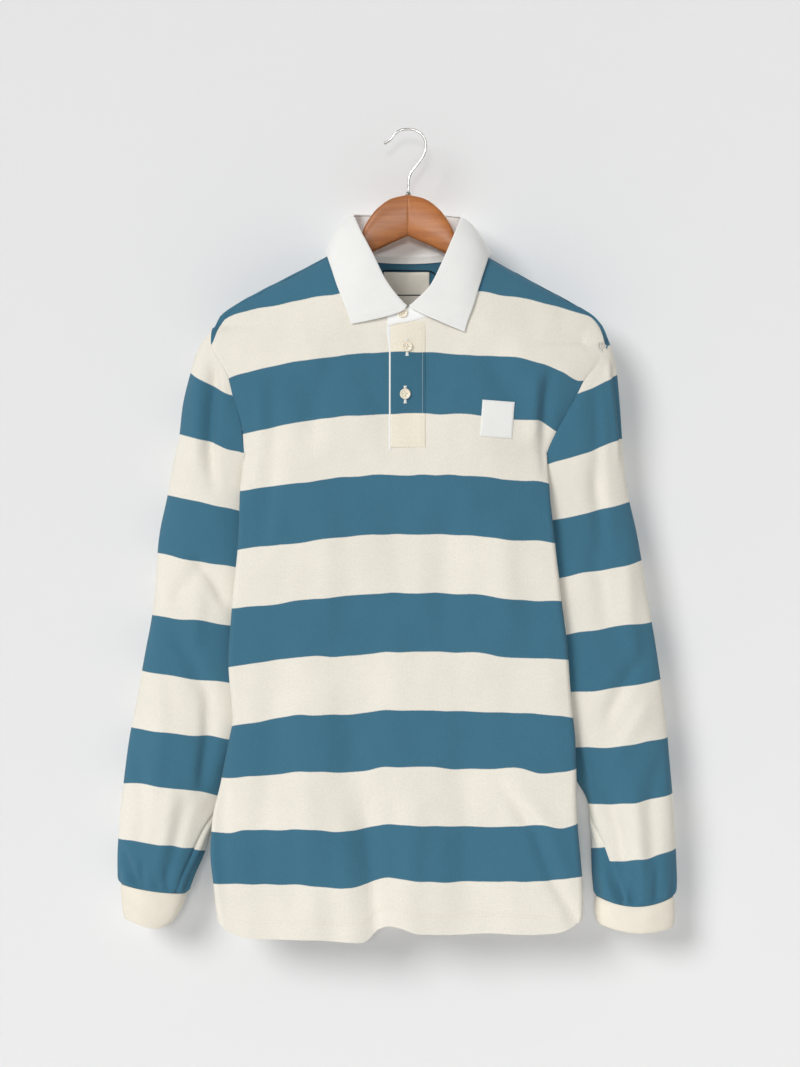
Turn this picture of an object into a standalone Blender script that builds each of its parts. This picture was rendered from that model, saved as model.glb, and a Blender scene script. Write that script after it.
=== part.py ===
"""Long-sleeve polo shirt with wide stripes, on a wooden hanger.

Sizes are millimetres; MM turns them into metres where a mesh is made.
X runs to the viewer's right, Y away from the viewer and Z up. The origin is
the inside top of the hook, where a rail or a peg holds the hanger.
Sides are the wearer's: "left" lies at +X. Faces are "front" and "back".

Every cloth piece is a grid of points on one garment form: a body tube whose
side folds overlap the sleeves, sleeve tubes that start at the armhole seams,
and shoulders that fall over the hanger. Solidify gives each its wall.
"""
import math
from collections import namedtuple

import bmesh
import bpy
import numpy as np
from mathutils import Matrix, Vector

MM = 0.001
SIGN = {"right": -1, "left": 1, "front": -1, "back": 1}

# --- driving sizes -----------------------------------------------------------
JERSEY = 1.5            # cloth wall, with its seam allowances
TWILL = 1.4             # collar, placket and patch
SEAM = 0.4              # left open between two pieces at a flat seam
BENT_SEAM = 1.0         # the same where they meet at an angle, so that the walls stay clear
LIFT = 0.3              # left open between a piece and the cloth that it lies on

ARMPIT = -430.0         # height of the underarm points
FOLD_TOP = -344.0       # the side folds start here and grow downwards
FOLD_RAMP = 86.0        # height over which a side fold grows to its full size
FOLD_RADIUS = {"front": 6.5, "back": 5.5}
FOLD_CLEAR = 3.0        # air between a side fold and the sleeve behind it
SHOULDER_ROUND = 110.0  # height over which the cloth rounds away from the ridge
NECK_HALF = 70.0        # neck point, from the middle
NECK_FRONT = -203.0     # neckline at the centre front
NECK_BACK = -134.0      # neckline at the centre back
BOW = 8.0               # how far the hanger's tips curve forward

PLACKET_LEFT, PLACKET_RIGHT = -18.3, 18.0
PLACKET_TOP, PLACKET_FOOT = -207.5, -338.8
PLACKET_SLANT = 0.17    # rise of its upper edge, which follows the neckband
FACING_WIDTH, FACING_DROP = 3.2, 3.6
BUTTON_DIAMETER, BUTTON_THICK = 11.4, 2.4
PATCH_WIDTH, PATCH_HEIGHT, PATCH_TILT = 34.0, 38.6, math.radians(-4.0)
PATCH_AT = (94.1, -309.3)
TRIM_LIFT = 1.0         # tape and label lie this far off the curved inside of the back
TAPE_REACH, TAPE_HEIGHT, TAPE_WALL = 50.0, 8.0, 1.0
TAPE_BELOW = 0.6        # below the cut edge of the back neck
LABEL_LEFT, LABEL_RIGHT, LABEL_TOP, LABEL_FOOT, LABEL_WALL = -26.0, 23.0, -148.5, -186.0, 1.0
LOOP_RADIUS = 0.9
WIRE_RADIUS = 1.25

Button = namedtuple("Button", "x z")
BUTTONS = (Button(-5.9, -200.0), Button(-1.0, -232.8), Button(-3.0, -282.8))

# Ridge of the shoulder and, on the front, the shoulder seam a little below it.
Shoulder = namedtuple("Shoulder", "x ridge seam")
SHOULDERS = {
    "right": (
        Shoulder(0, -93, -94), Shoulder(70, -125, -126.5), Shoulder(86, -133.8, -135.5),
        Shoulder(113, -148.4, -150.6), Shoulder(135, -159.5, -162.2), Shoulder(156, -170.2, -173.5),
        Shoulder(178, -182.1, -186.5), Shoulder(189, -189.3, -194.5), Shoulder(197.5, -195.6, -205),
        Shoulder(203, -202, -215), Shoulder(208.5, -212, -229.5)),
    "left": (
        Shoulder(0, -93, -94), Shoulder(70, -125.5, -126.5), Shoulder(86, -135, -136.2),
        Shoulder(115, -151.4, -152.6), Shoulder(137, -163.6, -164.8), Shoulder(158, -174.6, -175.8),
        Shoulder(180, -186.5, -188.1), Shoulder(191, -193, -195.6), Shoulder(200, -199.6, -203.6),
        Shoulder(208, -209.5, -215.5), Shoulder(215.5, -229, -234)),
}

# Outline of the body where its front folds over the sleeves.
BodyFold = namedtuple("BodyFold", "z right left")
BODY_FOLDS = (
    BodyFold(-344, 174.0, 147.8), BodyFold(-385, 178.4, 150.2), BodyFold(-430, 179.6, 155.2),
    BodyFold(-508, 186.6, 163.2), BodyFold(-563, 189.3, 169.4), BodyFold(-622, 189.0, 174.1),
    BodyFold(-650, 192.5, 176.6), BodyFold(-690, 198.7, 177.4), BodyFold(-736, 208.5, 178.5),
    BodyFold(-764, 210.0, 180.6), BodyFold(-802, 205.7, 184.6), BodyFold(-832, 201.0, 185.8),
    BodyFold(-848, 197.5, 181.5), BodyFold(-858, 190.0, 176.0))

# Armhole seam on the front, from the shoulder tip down to the underarm point.
Armhole = namedtuple("Armhole", "z x")
ARMHOLES = {
    "right": (Armhole(-212, 208.5), Armhole(-221, 209.4), Armhole(-229.5, 209.3), Armhole(-244, 201.8),
              Armhole(-265, 190.4), Armhole(-279, 187.2), Armhole(-323, 175.5), Armhole(-344, 174.0),
              Armhole(-365, 168.0), Armhole(-395, 158.0), Armhole(-415, 150.0), Armhole(-430, 142.0)),
    "left": (Armhole(-229, 215.5), Armhole(-232, 210.6), Armhole(-246, 203.9), Armhole(-267, 187.0),
             Armhole(-282, 179.6), Armhole(-322, 157.4), Armhole(-344, 147.8), Armhole(-365, 142.6),
             Armhole(-395, 134.0), Armhole(-415, 126.5), Armhole(-430, 118.0)),
}
BACK_ARMHOLE_OUT = 6.0  # the back armhole is cut this much less deep

# Sleeves seen from the front: outer outline, and the edge behind the body.
SleeveRow = namedtuple("SleeveRow", "z outer inner")
SLEEVES = {
    "right": (
        SleeveRow(-212, 208.5, 142), SleeveRow(-229, 220.0, 142), SleeveRow(-260, 231.2, 142),
        SleeveRow(-293, 238.8, 142), SleeveRow(-325, 242.6, 142), SleeveRow(-357, 250.6, 142),
        SleeveRow(-389, 256.5, 142), SleeveRow(-430, 264.6, 142), SleeveRow(-485, 269.6, 145),
        SleeveRow(-549, 280.6, 150), SleeveRow(-600, 287.6, 157), SleeveRow(-645, 296.1, 170),
        SleeveRow(-690, 302.8, 188), SleeveRow(-736, 309.0, 208), SleeveRow(-770, 311.1, 218.5),
        SleeveRow(-792, 309.6, 227.6), SleeveRow(-814, 304.6, 236.2)),
    "left": (
        SleeveRow(-229, 215.5, 118), SleeveRow(-245, 220.6, 118), SleeveRow(-260, 224.6, 118),
        SleeveRow(-293, 227.8, 118), SleeveRow(-325, 228.9, 118), SleeveRow(-357, 230.6, 118),
        SleeveRow(-389, 235.4, 118), SleeveRow(-430, 244.6, 118), SleeveRow(-501, 255.6, 125),
        SleeveRow(-565, 266.3, 132), SleeveRow(-629, 274.8, 146), SleeveRow(-661, 278.6, 160),
        SleeveRow(-691, 282.0, 178), SleeveRow(-718, 284.2, 192), SleeveRow(-758, 285.9, 195.8),
        SleeveRow(-792, 286.6, 197.0), SleeveRow(-828, 283.0, 201.6)),
}
SleeveDepth = namedtuple("SleeveDepth", "z middle half")
SLEEVE_DEPTHS = (
    SleeveDepth(-212, -8, 12), SleeveDepth(-240, -5, 16.5), SleeveDepth(-280, -1, 20),
    SleeveDepth(-344, 3, 22), SleeveDepth(-430, 6, 22), SleeveDepth(-600, 6, 21.5),
    SleeveDepth(-700, 5, 21.5), SleeveDepth(-790, 4, 21), SleeveDepth(-828, 3, 18))

Cuff = namedtuple("Cuff", "seam_outer seam_inner seam_dip outer inner foot dip half")
CUFFS = {
    "right": Cuff(-804, -814, 1.5, 304.8, 251.5, -844.5, 8.5, 15.5),
    "left": Cuff(-817, -816.5, 10.0, 284.0, 202.5, -848.0, 10.0, 16.0),
}

BodyDepth = namedtuple("BodyDepth", "z front back half")
BODY_DEPTHS = (
    BodyDepth(-90, -31, 38, 25), BodyDepth(-211, -35, 42, 25), BodyDepth(-344, -37, 45, 25),
    BodyDepth(-600, -38, 46, 25), BodyDepth(-760, -37, 45, 24), BodyDepth(-870, -34, 41, 20))

# Lower edge of the body, across it.
Hem = namedtuple("Hem", "x z")
HEMS = {
    "front": (Hem(-210, -845), Hem(-192, -855), Hem(-170, -858.3), Hem(-110, -858.9), Hem(-75, -861.4),
              Hem(-40, -861.6), Hem(-10, -857.5), Hem(12, -854.2), Hem(50, -853.5), Hem(90, -852.0),
              Hem(140, -853.8), Hem(165, -852.6), Hem(180, -848), Hem(190, -841)),
    "back": (Hem(-205, -846), Hem(-150, -851), Hem(-95, -848.5), Hem(-30, -850.5), Hem(45, -848),
             Hem(110, -850.5), Hem(190, -842)),
}

# Collar leaf: its roll line and its outer edge, from the points round to the middle of the back.
Leaf = namedtuple("Leaf", "roll edge swell")
LEAVES = {
    "right": (
        Leaf((-1.5, -39.5, -190.5), (-59.8, -37.3, -209.0), 0.4),
        Leaf((-13.0, -39.5, -178.5), (-63.2, -36.3, -199.0), 0.8),
        Leaf((-25.4, -38.5, -161.0), (-68.5, -34.5, -185.5), 1.5),
        Leaf((-38.0, -34.5, -135.0), (-75.5, -30.0, -167.5), 3.0),
        Leaf((-50.0, -25.0, -112.0), (-81.5, -22.0, -149.5), 4.0),
        Leaf((-57.0, -12.0, -96.5), (-86.0, -13.0, -136.5), 4.0),
        Leaf((-59.6, 4.0, -89.5), (-88.5, 5.0, -130.0), 3.5),
        Leaf((-51.0, 25.0, -87.5), (-72.0, 28.0, -138.0), 3.5),
        Leaf((-27.0, 35.0, -87.5), (-36.0, 39.0, -143.5), 2.5),
        Leaf((0.0, 38.0, -88.0), (0.0, 41.0, -145.0), 2.0)),
    "left": (
        Leaf((1.5, -39.5, -190.5), (59.4, -37.5, -217.3), 0.4),
        Leaf((12.0, -39.5, -181.5), (63.0, -36.6, -205.5), 0.8),
        Leaf((25.0, -38.5, -167.5), (68.8, -35.0, -190.0), 1.5),
        Leaf((37.0, -34.5, -143.5), (75.5, -30.0, -168.5), 3.0),
        Leaf((47.5, -25.0, -119.0), (81.5, -22.0, -150.0), 4.0),
        Leaf((55.0, -12.0, -100.5), (85.6, -13.0, -137.5), 4.0),
        Leaf((58.4, 4.0, -92.0), (88.0, 5.0, -131.0), 3.5),
        Leaf((50.0, 25.0, -88.5), (72.0, 28.0, -138.0), 3.5),
        Leaf((27.0, 35.0, -87.5), (36.0, 39.0, -143.5), 2.5),
        Leaf((0.0, 38.0, -88.0), (0.0, 41.0, -145.0), 2.0)),
}

# Neckband: where its foot lies for a station of the leaf, and how far below the neck edge it laps.
Band = namedtuple("Band", "station foot face lap")
BAND = (
    Band(1.0, 18.0, "front", 2.5), Band(2.0, 30.0, "front", 2.0), Band(3.3, 48.0, "front", 1.5),
    Band(4.6, 62.0, "front", 0.5), Band(5.7, 68.0, "front", -3.8), Band(6.3, 66.0, "back", -4.8),
    Band(7.0, 60.0, "back", -0.8), Band(8.0, 30.0, "back", -0.8), Band(9.0, 0.0, "back", -0.8))

# Hanging loop, from the label's left end over its top edge and down its right side.
LOOP = ((-29.5, -150.5, 0), (-24, -147.0, 0.4), (-8, -146.6, 0.6), (10, -147.0, 0.6), (22, -147.3, 0.4),
        (28, -149.5, 0), (30.5, -155, 0), (30.0, -161, 0))

# Wooden hanger: upper and lower edge outwards from the middle.
Wood = namedtuple("Wood", "x top bottom half")
WOODS = (
    Wood(0.3, -68.5, -112.5, 6.5), Wood(17, -72.5, -120.0, 6.5), Wood(33, -83.5, -127.5, 6.5),
    Wood(42, -95.0, -132.0, 6.5), Wood(50, -109.5, -137.0, 6.5), Wood(60, -126.0, -144.0, 5.0),
    Wood(80, -138.5, -153.5, 5.0), Wood(110, -151.8, -167.0, 5.4), Wood(150, -173.0, -188.0, 4.4),
    Wood(172, -185.0, -198.0, 3.2), Wood(181, -192.5, -201.0, 2.6))
WOOD_BELOW = 5.0        # the wood stays this far under the shoulder's ridge

# Centre line of the steel hook, from its tip over the top and down to the wood.
HOOK = (
    (-24.1, -13.3), (-19.0, -10.0), (-13.5, -3.2), (-8.4, 0.2), (-2.7, 1.35), (3.2, 1.35), (9.4, -0.6),
    (15.2, -4.8), (18.6, -11.6), (19.0, -18.8), (17.0, -25.8), (12.6, -32.9), (7.1, -39.6),
    (2.8, -46.2), (0.8, -53.0), (0.4, -60.0), (0.4, -67.8))


# --- curves ------------------------------------------------------------------
def curve(rows, key, value):
    """A smooth curve through two named columns of a table, with no overshoot."""
    pairs = sorted((getattr(row, key), getattr(row, value)) for row in rows)
    xs = np.array([pair[0] for pair in pairs], float)
    ys = np.array([pair[1] for pair in pairs], float)
    steps = np.diff(xs)
    slopes = np.diff(ys) / steps
    tangents = np.concatenate(([slopes[0]], np.zeros(len(xs) - 2), [slopes[-1]]))
    for i in range(1, len(xs) - 1):
        if slopes[i - 1] * slopes[i] > 0:
            tangents[i] = 2 * slopes[i - 1] * slopes[i] / (slopes[i - 1] + slopes[i])

    def at(x):
        x = min(max(x, xs[0]), xs[-1])
        i = min(int(np.searchsorted(xs, x, side="right")) - 1, len(steps) - 1)
        t = (x - xs[i]) / steps[i]
        rise = ys[i + 1] - ys[i]
        return (ys[i] + rise * t * t * (3 - 2 * t)
                + steps[i] * t * (1 - t) * ((1 - t) * tangents[i] - t * tangents[i + 1]))
    return at


def smoothstep(t):
    t = min(max(t, 0.0), 1.0)
    return t * t * (3 - 2 * t)


def mix(a, b, t):
    return a + (b - a) * t


RIDGE = {side: curve(SHOULDERS[side], "x", "ridge") for side in SHOULDERS}
SHOULDER_SEAM = {side: curve(SHOULDERS[side], "x", "seam") for side in SHOULDERS}
TIP = {side: SHOULDERS[side][-1] for side in SHOULDERS}
FOLD = {side: curve(BODY_FOLDS, "z", side) for side in SHOULDERS}
ARMHOLE = {side: curve(ARMHOLES[side], "z", "x") for side in SHOULDERS}
OUTER = {side: curve(SLEEVES[side], "z", "outer") for side in SHOULDERS}
INNER = {side: curve(SLEEVES[side], "z", "inner") for side in SHOULDERS}
MIDDLE = curve(SLEEVE_DEPTHS, "z", "middle")
HALF = curve(SLEEVE_DEPTHS, "z", "half")
CENTRE = {face: curve(BODY_DEPTHS, "z", face) for face in ("front", "back")}
BODY_HALF = curve(BODY_DEPTHS, "z", "half")
HEM = {face: curve(HEMS[face], "x", "z") for face in HEMS}


# --- garment form --------------------------------------------------------------
def sleeve_share(side, x, z):
    """Where x lies between a sleeve's outer edge (0) and inner edge (1)."""
    outer = OUTER[side](z)
    return min(max((outer - x) / (outer - INNER[side](z)), 0.0), 1.0)


def sleeve_y(side, face, x, z):
    share = sleeve_share(side, x, z)
    return MIDDLE(z) + SIGN[face] * HALF(z) * 2 * math.sqrt(share * (1 - share))


def armhole_x(side, face, z):
    top, foot = TIP[side].ridge, FOLD_TOP
    x = ARMHOLE[side](z)
    if face == "back" and foot < z < top:
        x += BACK_ARMHOLE_OUT * math.sin(math.pi * (top - z) / (top - foot)) ** 2
    return x


def ridge_y(x):
    return -BOW * (x / TIP["right"].x) ** 2


def face_y(side, face, x, z, reach, edge):
    """Depth of a body panel's broad face at x, which ends at reach with depth edge."""
    flat = mix(CENTRE[face](z), edge, (x / reach) ** 5)
    drop = min(max((RIDGE[side](x) - z) / SHOULDER_ROUND, 0.0), 1.0)
    return mix(ridge_y(x), flat, math.sqrt(1 - (1 - drop) ** 2))


def section(side, face, z):
    """Half a level section of a body panel, from the middle out to its seam.

    Returns the broad face, the side fold and the hollow wall behind it. Above
    FOLD_TOP the face runs straight to the armhole seam.
    """
    turn = SIGN[face]
    grown = smoothstep((FOLD_TOP - z) / FOLD_RAMP)
    if z >= FOLD_TOP:
        low = min(z, TIP[side].ridge)
        reach = armhole_x(side, face, low)
        edge = sleeve_y(side, face, reach, low)
        miss = edge - face_y(side, face, reach, z, reach, edge)
        xs = np.linspace(0, reach, 25)
        face_points = [(x, face_y(side, face, x, z, reach, edge) + miss * (x / reach) ** 6) for x in xs]
        return face_points, [], []

    radius = FOLD_RADIUS[face] * min(1.0, (FOLD_TOP - z) / 60) ** 0.7
    reach = FOLD[side](z) - (0 if face == "front" else 4 * grown)
    behind = abs(sleeve_y(side, face, reach, z) - MIDDLE(z)) + LIFT
    wall = MIDDLE(z) + turn * mix(behind, BODY_HALF(z), grown)
    edge = wall + turn * 2 * radius
    if z >= ARMPIT:
        seam_x = armhole_x(side, face, z)
        seam_y = sleeve_y(side, face, seam_x, z)
    else:
        clear = mix(0.0, FOLD_CLEAR + 1, smoothstep((ARMPIT - z) / 40))
        seam_x = min(reach - 13, INNER[side](z) - clear)
        seam_y = MIDDLE(z)
    xs = np.linspace(0, reach - radius, 25)
    face_points = [(x, face_y(side, face, x, z, reach - radius, edge)) for x in xs]
    fold_points = [(reach - radius + radius * math.sin(a), wall + turn * radius * (1 + math.cos(a)))
                   for a in np.linspace(0, math.pi, 13)[1:]]
    wall_points = [(reach - radius - (reach - radius - seam_x) * math.sin(a),
                    seam_y + (wall - seam_y) * math.cos(a))
                   for a in np.linspace(0, math.pi / 2, 13)[1:]]
    return face_points, fold_points, wall_points


UNDERARM_ROWS = (ARMPIT, ARMPIT + 12, ARMPIT + 27, ARMPIT + 44)
FACE_SHARE, FOLD_SHARE = 0.62, 0.80   # where the face and the fold end, as shares of a row


def panel_point(side, face, share, z):
    """Point of a body panel: share 0 is the middle, 1 the seam."""
    parts = section(side, face, z)
    points = np.array([point for part in parts for point in part])
    lengths = np.concatenate(([0], np.cumsum(np.hypot(*np.diff(points, axis=0).T))))
    whole = lengths[-1]
    ends = [lengths[len(parts[0]) - 1], lengths[len(parts[0]) + len(parts[1]) - 1]]
    grown = smoothstep((FOLD_TOP - z) / FOLD_RAMP)
    knots = [mix(ends[0] / whole, FACE_SHARE, grown), mix(ends[1] / whole, FOLD_SHARE, grown)]
    along = np.interp(share, [0, knots[0], knots[1] + 1e-9, 1 + 2e-9], [0, ends[0], ends[1], whole])
    along *= (whole - (BENT_SEAM if z > ARMPIT else SEAM)) / whole
    x = np.interp(along, lengths, points[:, 0])
    y = np.interp(along, lengths, points[:, 1])
    return Vector((SIGN[side] * x, y, z))


def neckline(face, side, x):
    """Height of the cut neck edge at x, out to the neck point."""
    share = abs(x) / NECK_HALF
    if face == "front":
        return mix(NECK_FRONT, SHOULDER_SEAM[side](NECK_HALF), share ** 2.2)
    return mix(NECK_BACK, RIDGE[side](NECK_HALF), share ** 2.6)


def column(side, face, share, low_rows=8, high_rows=8):
    """One column of a body panel, from its hem to its neckline or shoulder seam."""
    x = TIP[side].x * share
    for _ in range(4):
        ridge = RIDGE[side](x)
        if x < NECK_HALF - 1e-6 and share < 0.33:
            drop = ridge - neckline(face, side, x)
        else:
            drop = ridge - SHOULDER_SEAM[side](x)
        if share < 1:
            x = abs(panel_point(side, face, share, ridge - drop).x)
    wraps = face == "back" and share >= 0.33
    near_tip = smoothstep((share - 0.85) / 0.15)
    if wraps:
        last = -math.sqrt(max(drop - mix(1.4, 3.0, near_tip) * BENT_SEAM, 0.0))
    else:
        last = math.sqrt(drop + mix(SEAM, 2.6 * BENT_SEAM, near_tip))
    hem_x = FOLD[side](-800) * min(1, share / FACE_SHARE)
    hem = HEM[face](SIGN[side] * hem_x)
    points = [panel_point(side, face, share, mix(hem, ARMPIT, i / low_rows)) for i in range(low_rows)]
    points += [panel_point(side, face, share, z) for z in UNDERARM_ROWS[:-1]]
    first = math.sqrt(ridge - UNDERARM_ROWS[-1])
    for i in range(high_rows + 1):
        reach = mix(first, last, i / high_rows)
        here = face if reach > 0 else "front"
        points.append(panel_point(side, here, share, ridge - reach * reach))
    return points


COLUMN_SHARES = (0.12, 0.23, 0.335, 0.44, 0.53, 0.6, 0.655, 0.70, 0.745, 0.79, 0.84, 0.9, 0.95, 1.0)


def body_panel(face):
    columns = [column("right", face, share) for share in reversed(COLUMN_SHARES)]
    columns.append(column("left", face, 0.0))
    columns += [column("left", face, share) for share in COLUMN_SHARES]
    return columns


def front_at(x, z, lift):
    """Point that floats lift in front of the front panel's broad face."""
    side = "right" if x < 0 else "left"
    inside = section(side, "front", z)[0]
    y = np.interp(abs(x), [point[0] for point in inside], [point[1] for point in inside])
    return Vector((x, y - lift, z))


def back_inside(x, z, lift):
    """Point that floats lift inside the back panel, towards the viewer."""
    side = "right" if x < 0 else "left"
    inside = section(side, "back", z)[0]
    y = np.interp(abs(x), [point[0] for point in inside], [point[1] for point in inside])
    return Vector((x, y - JERSEY - lift, z))


def sleeve_turn(side, turn, z):
    """Point of a sleeve: turn 0 is the outer edge, 0.25 the front, 0.5 the inner edge."""
    angle = 2 * math.pi * turn
    share = (1 - math.cos(angle)) / 2
    x = mix(OUTER[side](z), INNER[side](z), share)
    return Vector((SIGN[side] * x, MIDDLE(z) - HALF(z) * math.sin(angle), z))


def sleeve_top(side, turn):
    """Height where the column at turn meets the armhole seam."""
    face = "front" if turn <= 0.5 else "back"
    heights = np.linspace(TIP[side].ridge, ARMPIT, 90)
    shares = [sleeve_share(side, armhole_x(side, face, z), z) for z in heights]
    share = (1 - math.cos(2 * math.pi * turn)) / 2
    return float(np.interp(share, shares, heights)) - mix(2.2 * BENT_SEAM, 3.6 * BENT_SEAM, share ** 2)


def cuff_seam(side, turn):
    share = (1 - math.cos(2 * math.pi * turn)) / 2
    cuff = CUFFS[side]
    return mix(cuff.seam_outer, cuff.seam_inner, share) - cuff.seam_dip * 4 * share * (1 - share)


# --- mesh helpers ----------------------------------------------------------------
def material(name, colour, roughness, metallic=0.0):
    made = bpy.data.materials.new(name)
    made.use_nodes = True
    shader = made.node_tree.nodes["Principled BSDF"]
    shader.inputs["Base Color"].default_value = (*colour, 1.0)
    shader.inputs["Roughness"].default_value = roughness
    shader.inputs["Metallic"].default_value = metallic
    return made


def add_object(name, mesh_maker, finish):
    """Put a finished bmesh into the scene as a smooth-shaded object."""
    bmesh.ops.recalc_face_normals(mesh_maker, faces=mesh_maker.faces)
    mesh = bpy.data.meshes.new(name)
    mesh_maker.to_mesh(mesh)
    mesh_maker.free()
    mesh.shade_smooth()
    mesh.set_sharp_from_angle(angle=math.radians(40))
    mesh.materials.append(finish)
    piece = bpy.data.objects.new(name, mesh)
    bpy.context.scene.collection.objects.link(piece)
    return piece


def cloth(name, columns, outward, wall, finish, closed=False):
    """Sheet through a grid of points, given a wall on the side away from outward.

    outward tells, for a point, which way the cloth's right side looks there.
    """
    sheet = bmesh.new()
    grid = [[sheet.verts.new(point * MM) for point in points] for points in columns]
    if closed:
        grid.append(grid[0])
    for near, far in zip(grid, grid[1:]):
        for i in range(len(near) - 1):
            sheet.faces.new((near[i], far[i], far[i + 1], near[i + 1]))
    sheet.normal_update()
    agree = sum(face.normal.dot(outward(face.calc_center_median() / MM)) for face in sheet.faces)
    if agree < 0:
        bmesh.ops.reverse_faces(sheet, faces=sheet.faces)
    mesh = bpy.data.meshes.new(name)
    sheet.to_mesh(mesh)
    sheet.free()
    mesh.shade_smooth()
    mesh.set_sharp_from_angle(angle=math.radians(50))
    mesh.materials.append(finish)
    piece = bpy.data.objects.new(name, mesh)
    bpy.context.scene.collection.objects.link(piece)
    shell = piece.modifiers.new("wall", "SOLIDIFY")
    shell.thickness = wall * MM
    shell.offset = -1.0
    return piece


def solid_loft(name, rings, finish):
    """Closed solid through a row of rings, with flat ends."""
    loft = bmesh.new()
    loops = [[loft.verts.new(point * MM) for point in ring] for ring in rings]
    for near, far in zip(loops, loops[1:]):
        for i in range(len(near)):
            k = (i + 1) % len(near)
            loft.faces.new((near[i], near[k], far[k], far[i]))
    loft.faces.new(loops[0])
    loft.faces.new(loops[-1])
    return add_object(name, loft, finish)


def tube(name, route, radius, finish, sides=10):
    """Round wire along a smooth route through a few points."""
    line = bpy.data.curves.new(name, "CURVE")
    line.dimensions = "3D"
    line.bevel_depth = radius * MM
    line.bevel_resolution = sides // 2 - 2
    line.use_fill_caps = True
    path = line.splines.new("POLY")
    path.points.add(len(route) - 1)
    for point, place in zip(path.points, route):
        point.co = (*(place * MM), 1.0)
    line.materials.append(finish)
    piece = bpy.data.objects.new(name, line)
    bpy.context.scene.collection.objects.link(piece)
    return piece


def smooth_route(points, count):
    """Even points on a smooth curve through the given ones."""
    knots = [Vector(point) for point in points]
    knots = [2 * knots[0] - knots[1]] + knots + [2 * knots[-1] - knots[-2]]
    fine = []
    for a, b, c, d in zip(knots, knots[1:], knots[2:], knots[3:]):
        for t in np.linspace(0, 1, 12, endpoint=False):
            fine.append(0.5 * (2 * b + (c - a) * t + (2 * a - 5 * b + 4 * c - d) * t ** 2
                               + (3 * b - a - 3 * c + d) * t ** 3))
    fine.append(knots[-2])
    lengths = np.concatenate(([0], np.cumsum([(q - p).length for p, q in zip(fine, fine[1:])])))
    places = np.linspace(0, lengths[-1], count)
    axes = [np.interp(places, lengths, [point[axis] for point in fine]) for axis in range(3)]
    return [Vector(place) for place in zip(*axes)]


# --- pieces ------------------------------------------------------------------
def make_body(jersey):
    cloth("front_panel", body_panel("front"), lambda p: Vector((0, -1, 0)), JERSEY, jersey)
    cloth("back_panel", body_panel("back"), lambda p: Vector((0, 1, 0)), JERSEY, jersey)


def make_sleeve(side, jersey, rows=13, turns=20):
    columns = []
    for k in range(turns):
        turn = k / turns
        top, foot = sleeve_top(side, turn), cuff_seam(side, turn) + SEAM
        columns.append([sleeve_turn(side, turn, mix(top, foot, i / rows)) for i in range(rows + 1)])

    def outward(point):
        z = point.z
        middle = Vector((SIGN[side] * (OUTER[side](z) + INNER[side](z)) / 2, MIDDLE(z), z))
        return (point - middle).normalized()
    cloth(f"sleeve_{side}", columns, outward, JERSEY, jersey, closed=True)


def make_cuff(side, rib, rows=3, turns=20):
    cuff = CUFFS[side]
    columns = []
    for k in range(turns):
        angle = 2 * math.pi * k / turns
        share = (1 - math.cos(angle)) / 2
        top = sleeve_turn(side, k / turns, cuff_seam(side, k / turns))
        low = cuff.foot - cuff.dip * 4 * share * (1 - share)
        foot = Vector((SIGN[side] * mix(cuff.outer, cuff.inner, share), 3 - cuff.half * math.sin(angle), low))
        columns.append([top.lerp(foot, i / rows) for i in range(rows + 1)])
    middle = Vector((SIGN[side] * (cuff.outer + cuff.inner) / 2, 3, 0))

    def outward(point):
        return Vector((point.x - middle.x, point.y - middle.y, 0)).normalized()
    cloth(f"cuff_{side}", columns, outward, JERSEY, rib, closed=True)


def leaf_at(side, station):
    """Roll line, outer edge and swell of the collar leaf between two stations of its table."""
    rows = LEAVES[side]
    i = min(int(station), len(rows) - 2)
    t = station - i
    near = [rows[min(max(i + k, 0), len(rows) - 1)] for k in (-1, 0, 1, 2)]

    def blend(values):
        a, b, c, d = values
        return 0.5 * (2 * b + (c - a) * t + (2 * a - 5 * b + 4 * c - d) * t ** 2
                      + (3 * b - a - 3 * c + d) * t ** 3)
    return Leaf(blend([Vector(row.roll) for row in near]), blend([Vector(row.edge) for row in near]),
                blend([row.swell for row in near]))


def leaf_out(side, station):
    """The way the leaf's right side looks at a station."""
    before, after = leaf_at(side, max(station - 0.3, 0)), leaf_at(side, min(station + 0.3, 9))
    here = leaf_at(side, station)
    out = (after.roll - before.roll).cross(here.edge - here.roll).normalized()
    return out if side == "right" else -out


def leaf_column(side, station, rows=4):
    here, out = leaf_at(side, station), leaf_out(side, station)
    return [here.roll.lerp(here.edge, i / rows) + out * here.swell * 4 * (i / rows) * (1 - i / rows)
            for i in range(rows + 1)]


def band_column(side, band, rows=3):
    x = SIGN[side] * band.foot
    z = neckline(band.face, side, band.foot) - band.lap
    over = 2 * LIFT + TWILL if band.lap > 0 else 0
    foot = front_at(x, z, over) if band.face == "front" else back_inside(x, z, -JERSEY)
    head = leaf_at(side, band.station).roll - leaf_out(side, band.station) * (TWILL + 3.6 * LIFT)
    head.z -= 1.0
    return [head.lerp(foot, i / rows) for i in range(rows + 1)]


def make_collar(twill):
    stations = np.linspace(0, 9, 13)
    leaf = [leaf_column("right", station) for station in stations]
    leaf += [leaf_column("left", station) for station in reversed(stations[:-1])]
    cloth("collar_fall", leaf, lambda p: Vector((p.x, p.y, 25)).normalized(), TWILL, twill)

    band = [band_column("right", row) for row in BAND]
    band += [band_column("left", row) for row in reversed(BAND[:-1])]
    for x, head, foot in ((0.0, -191.5, -206.6), (-16.5, -194.0, -209.4)):
        band.append([front_at(x, mix(head, foot, i / 3), LIFT + TWILL) for i in range(4)])
    cloth("collar_stand", band, lambda p: Vector((p.x, p.y, 0)).normalized(), TWILL, twill)


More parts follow.
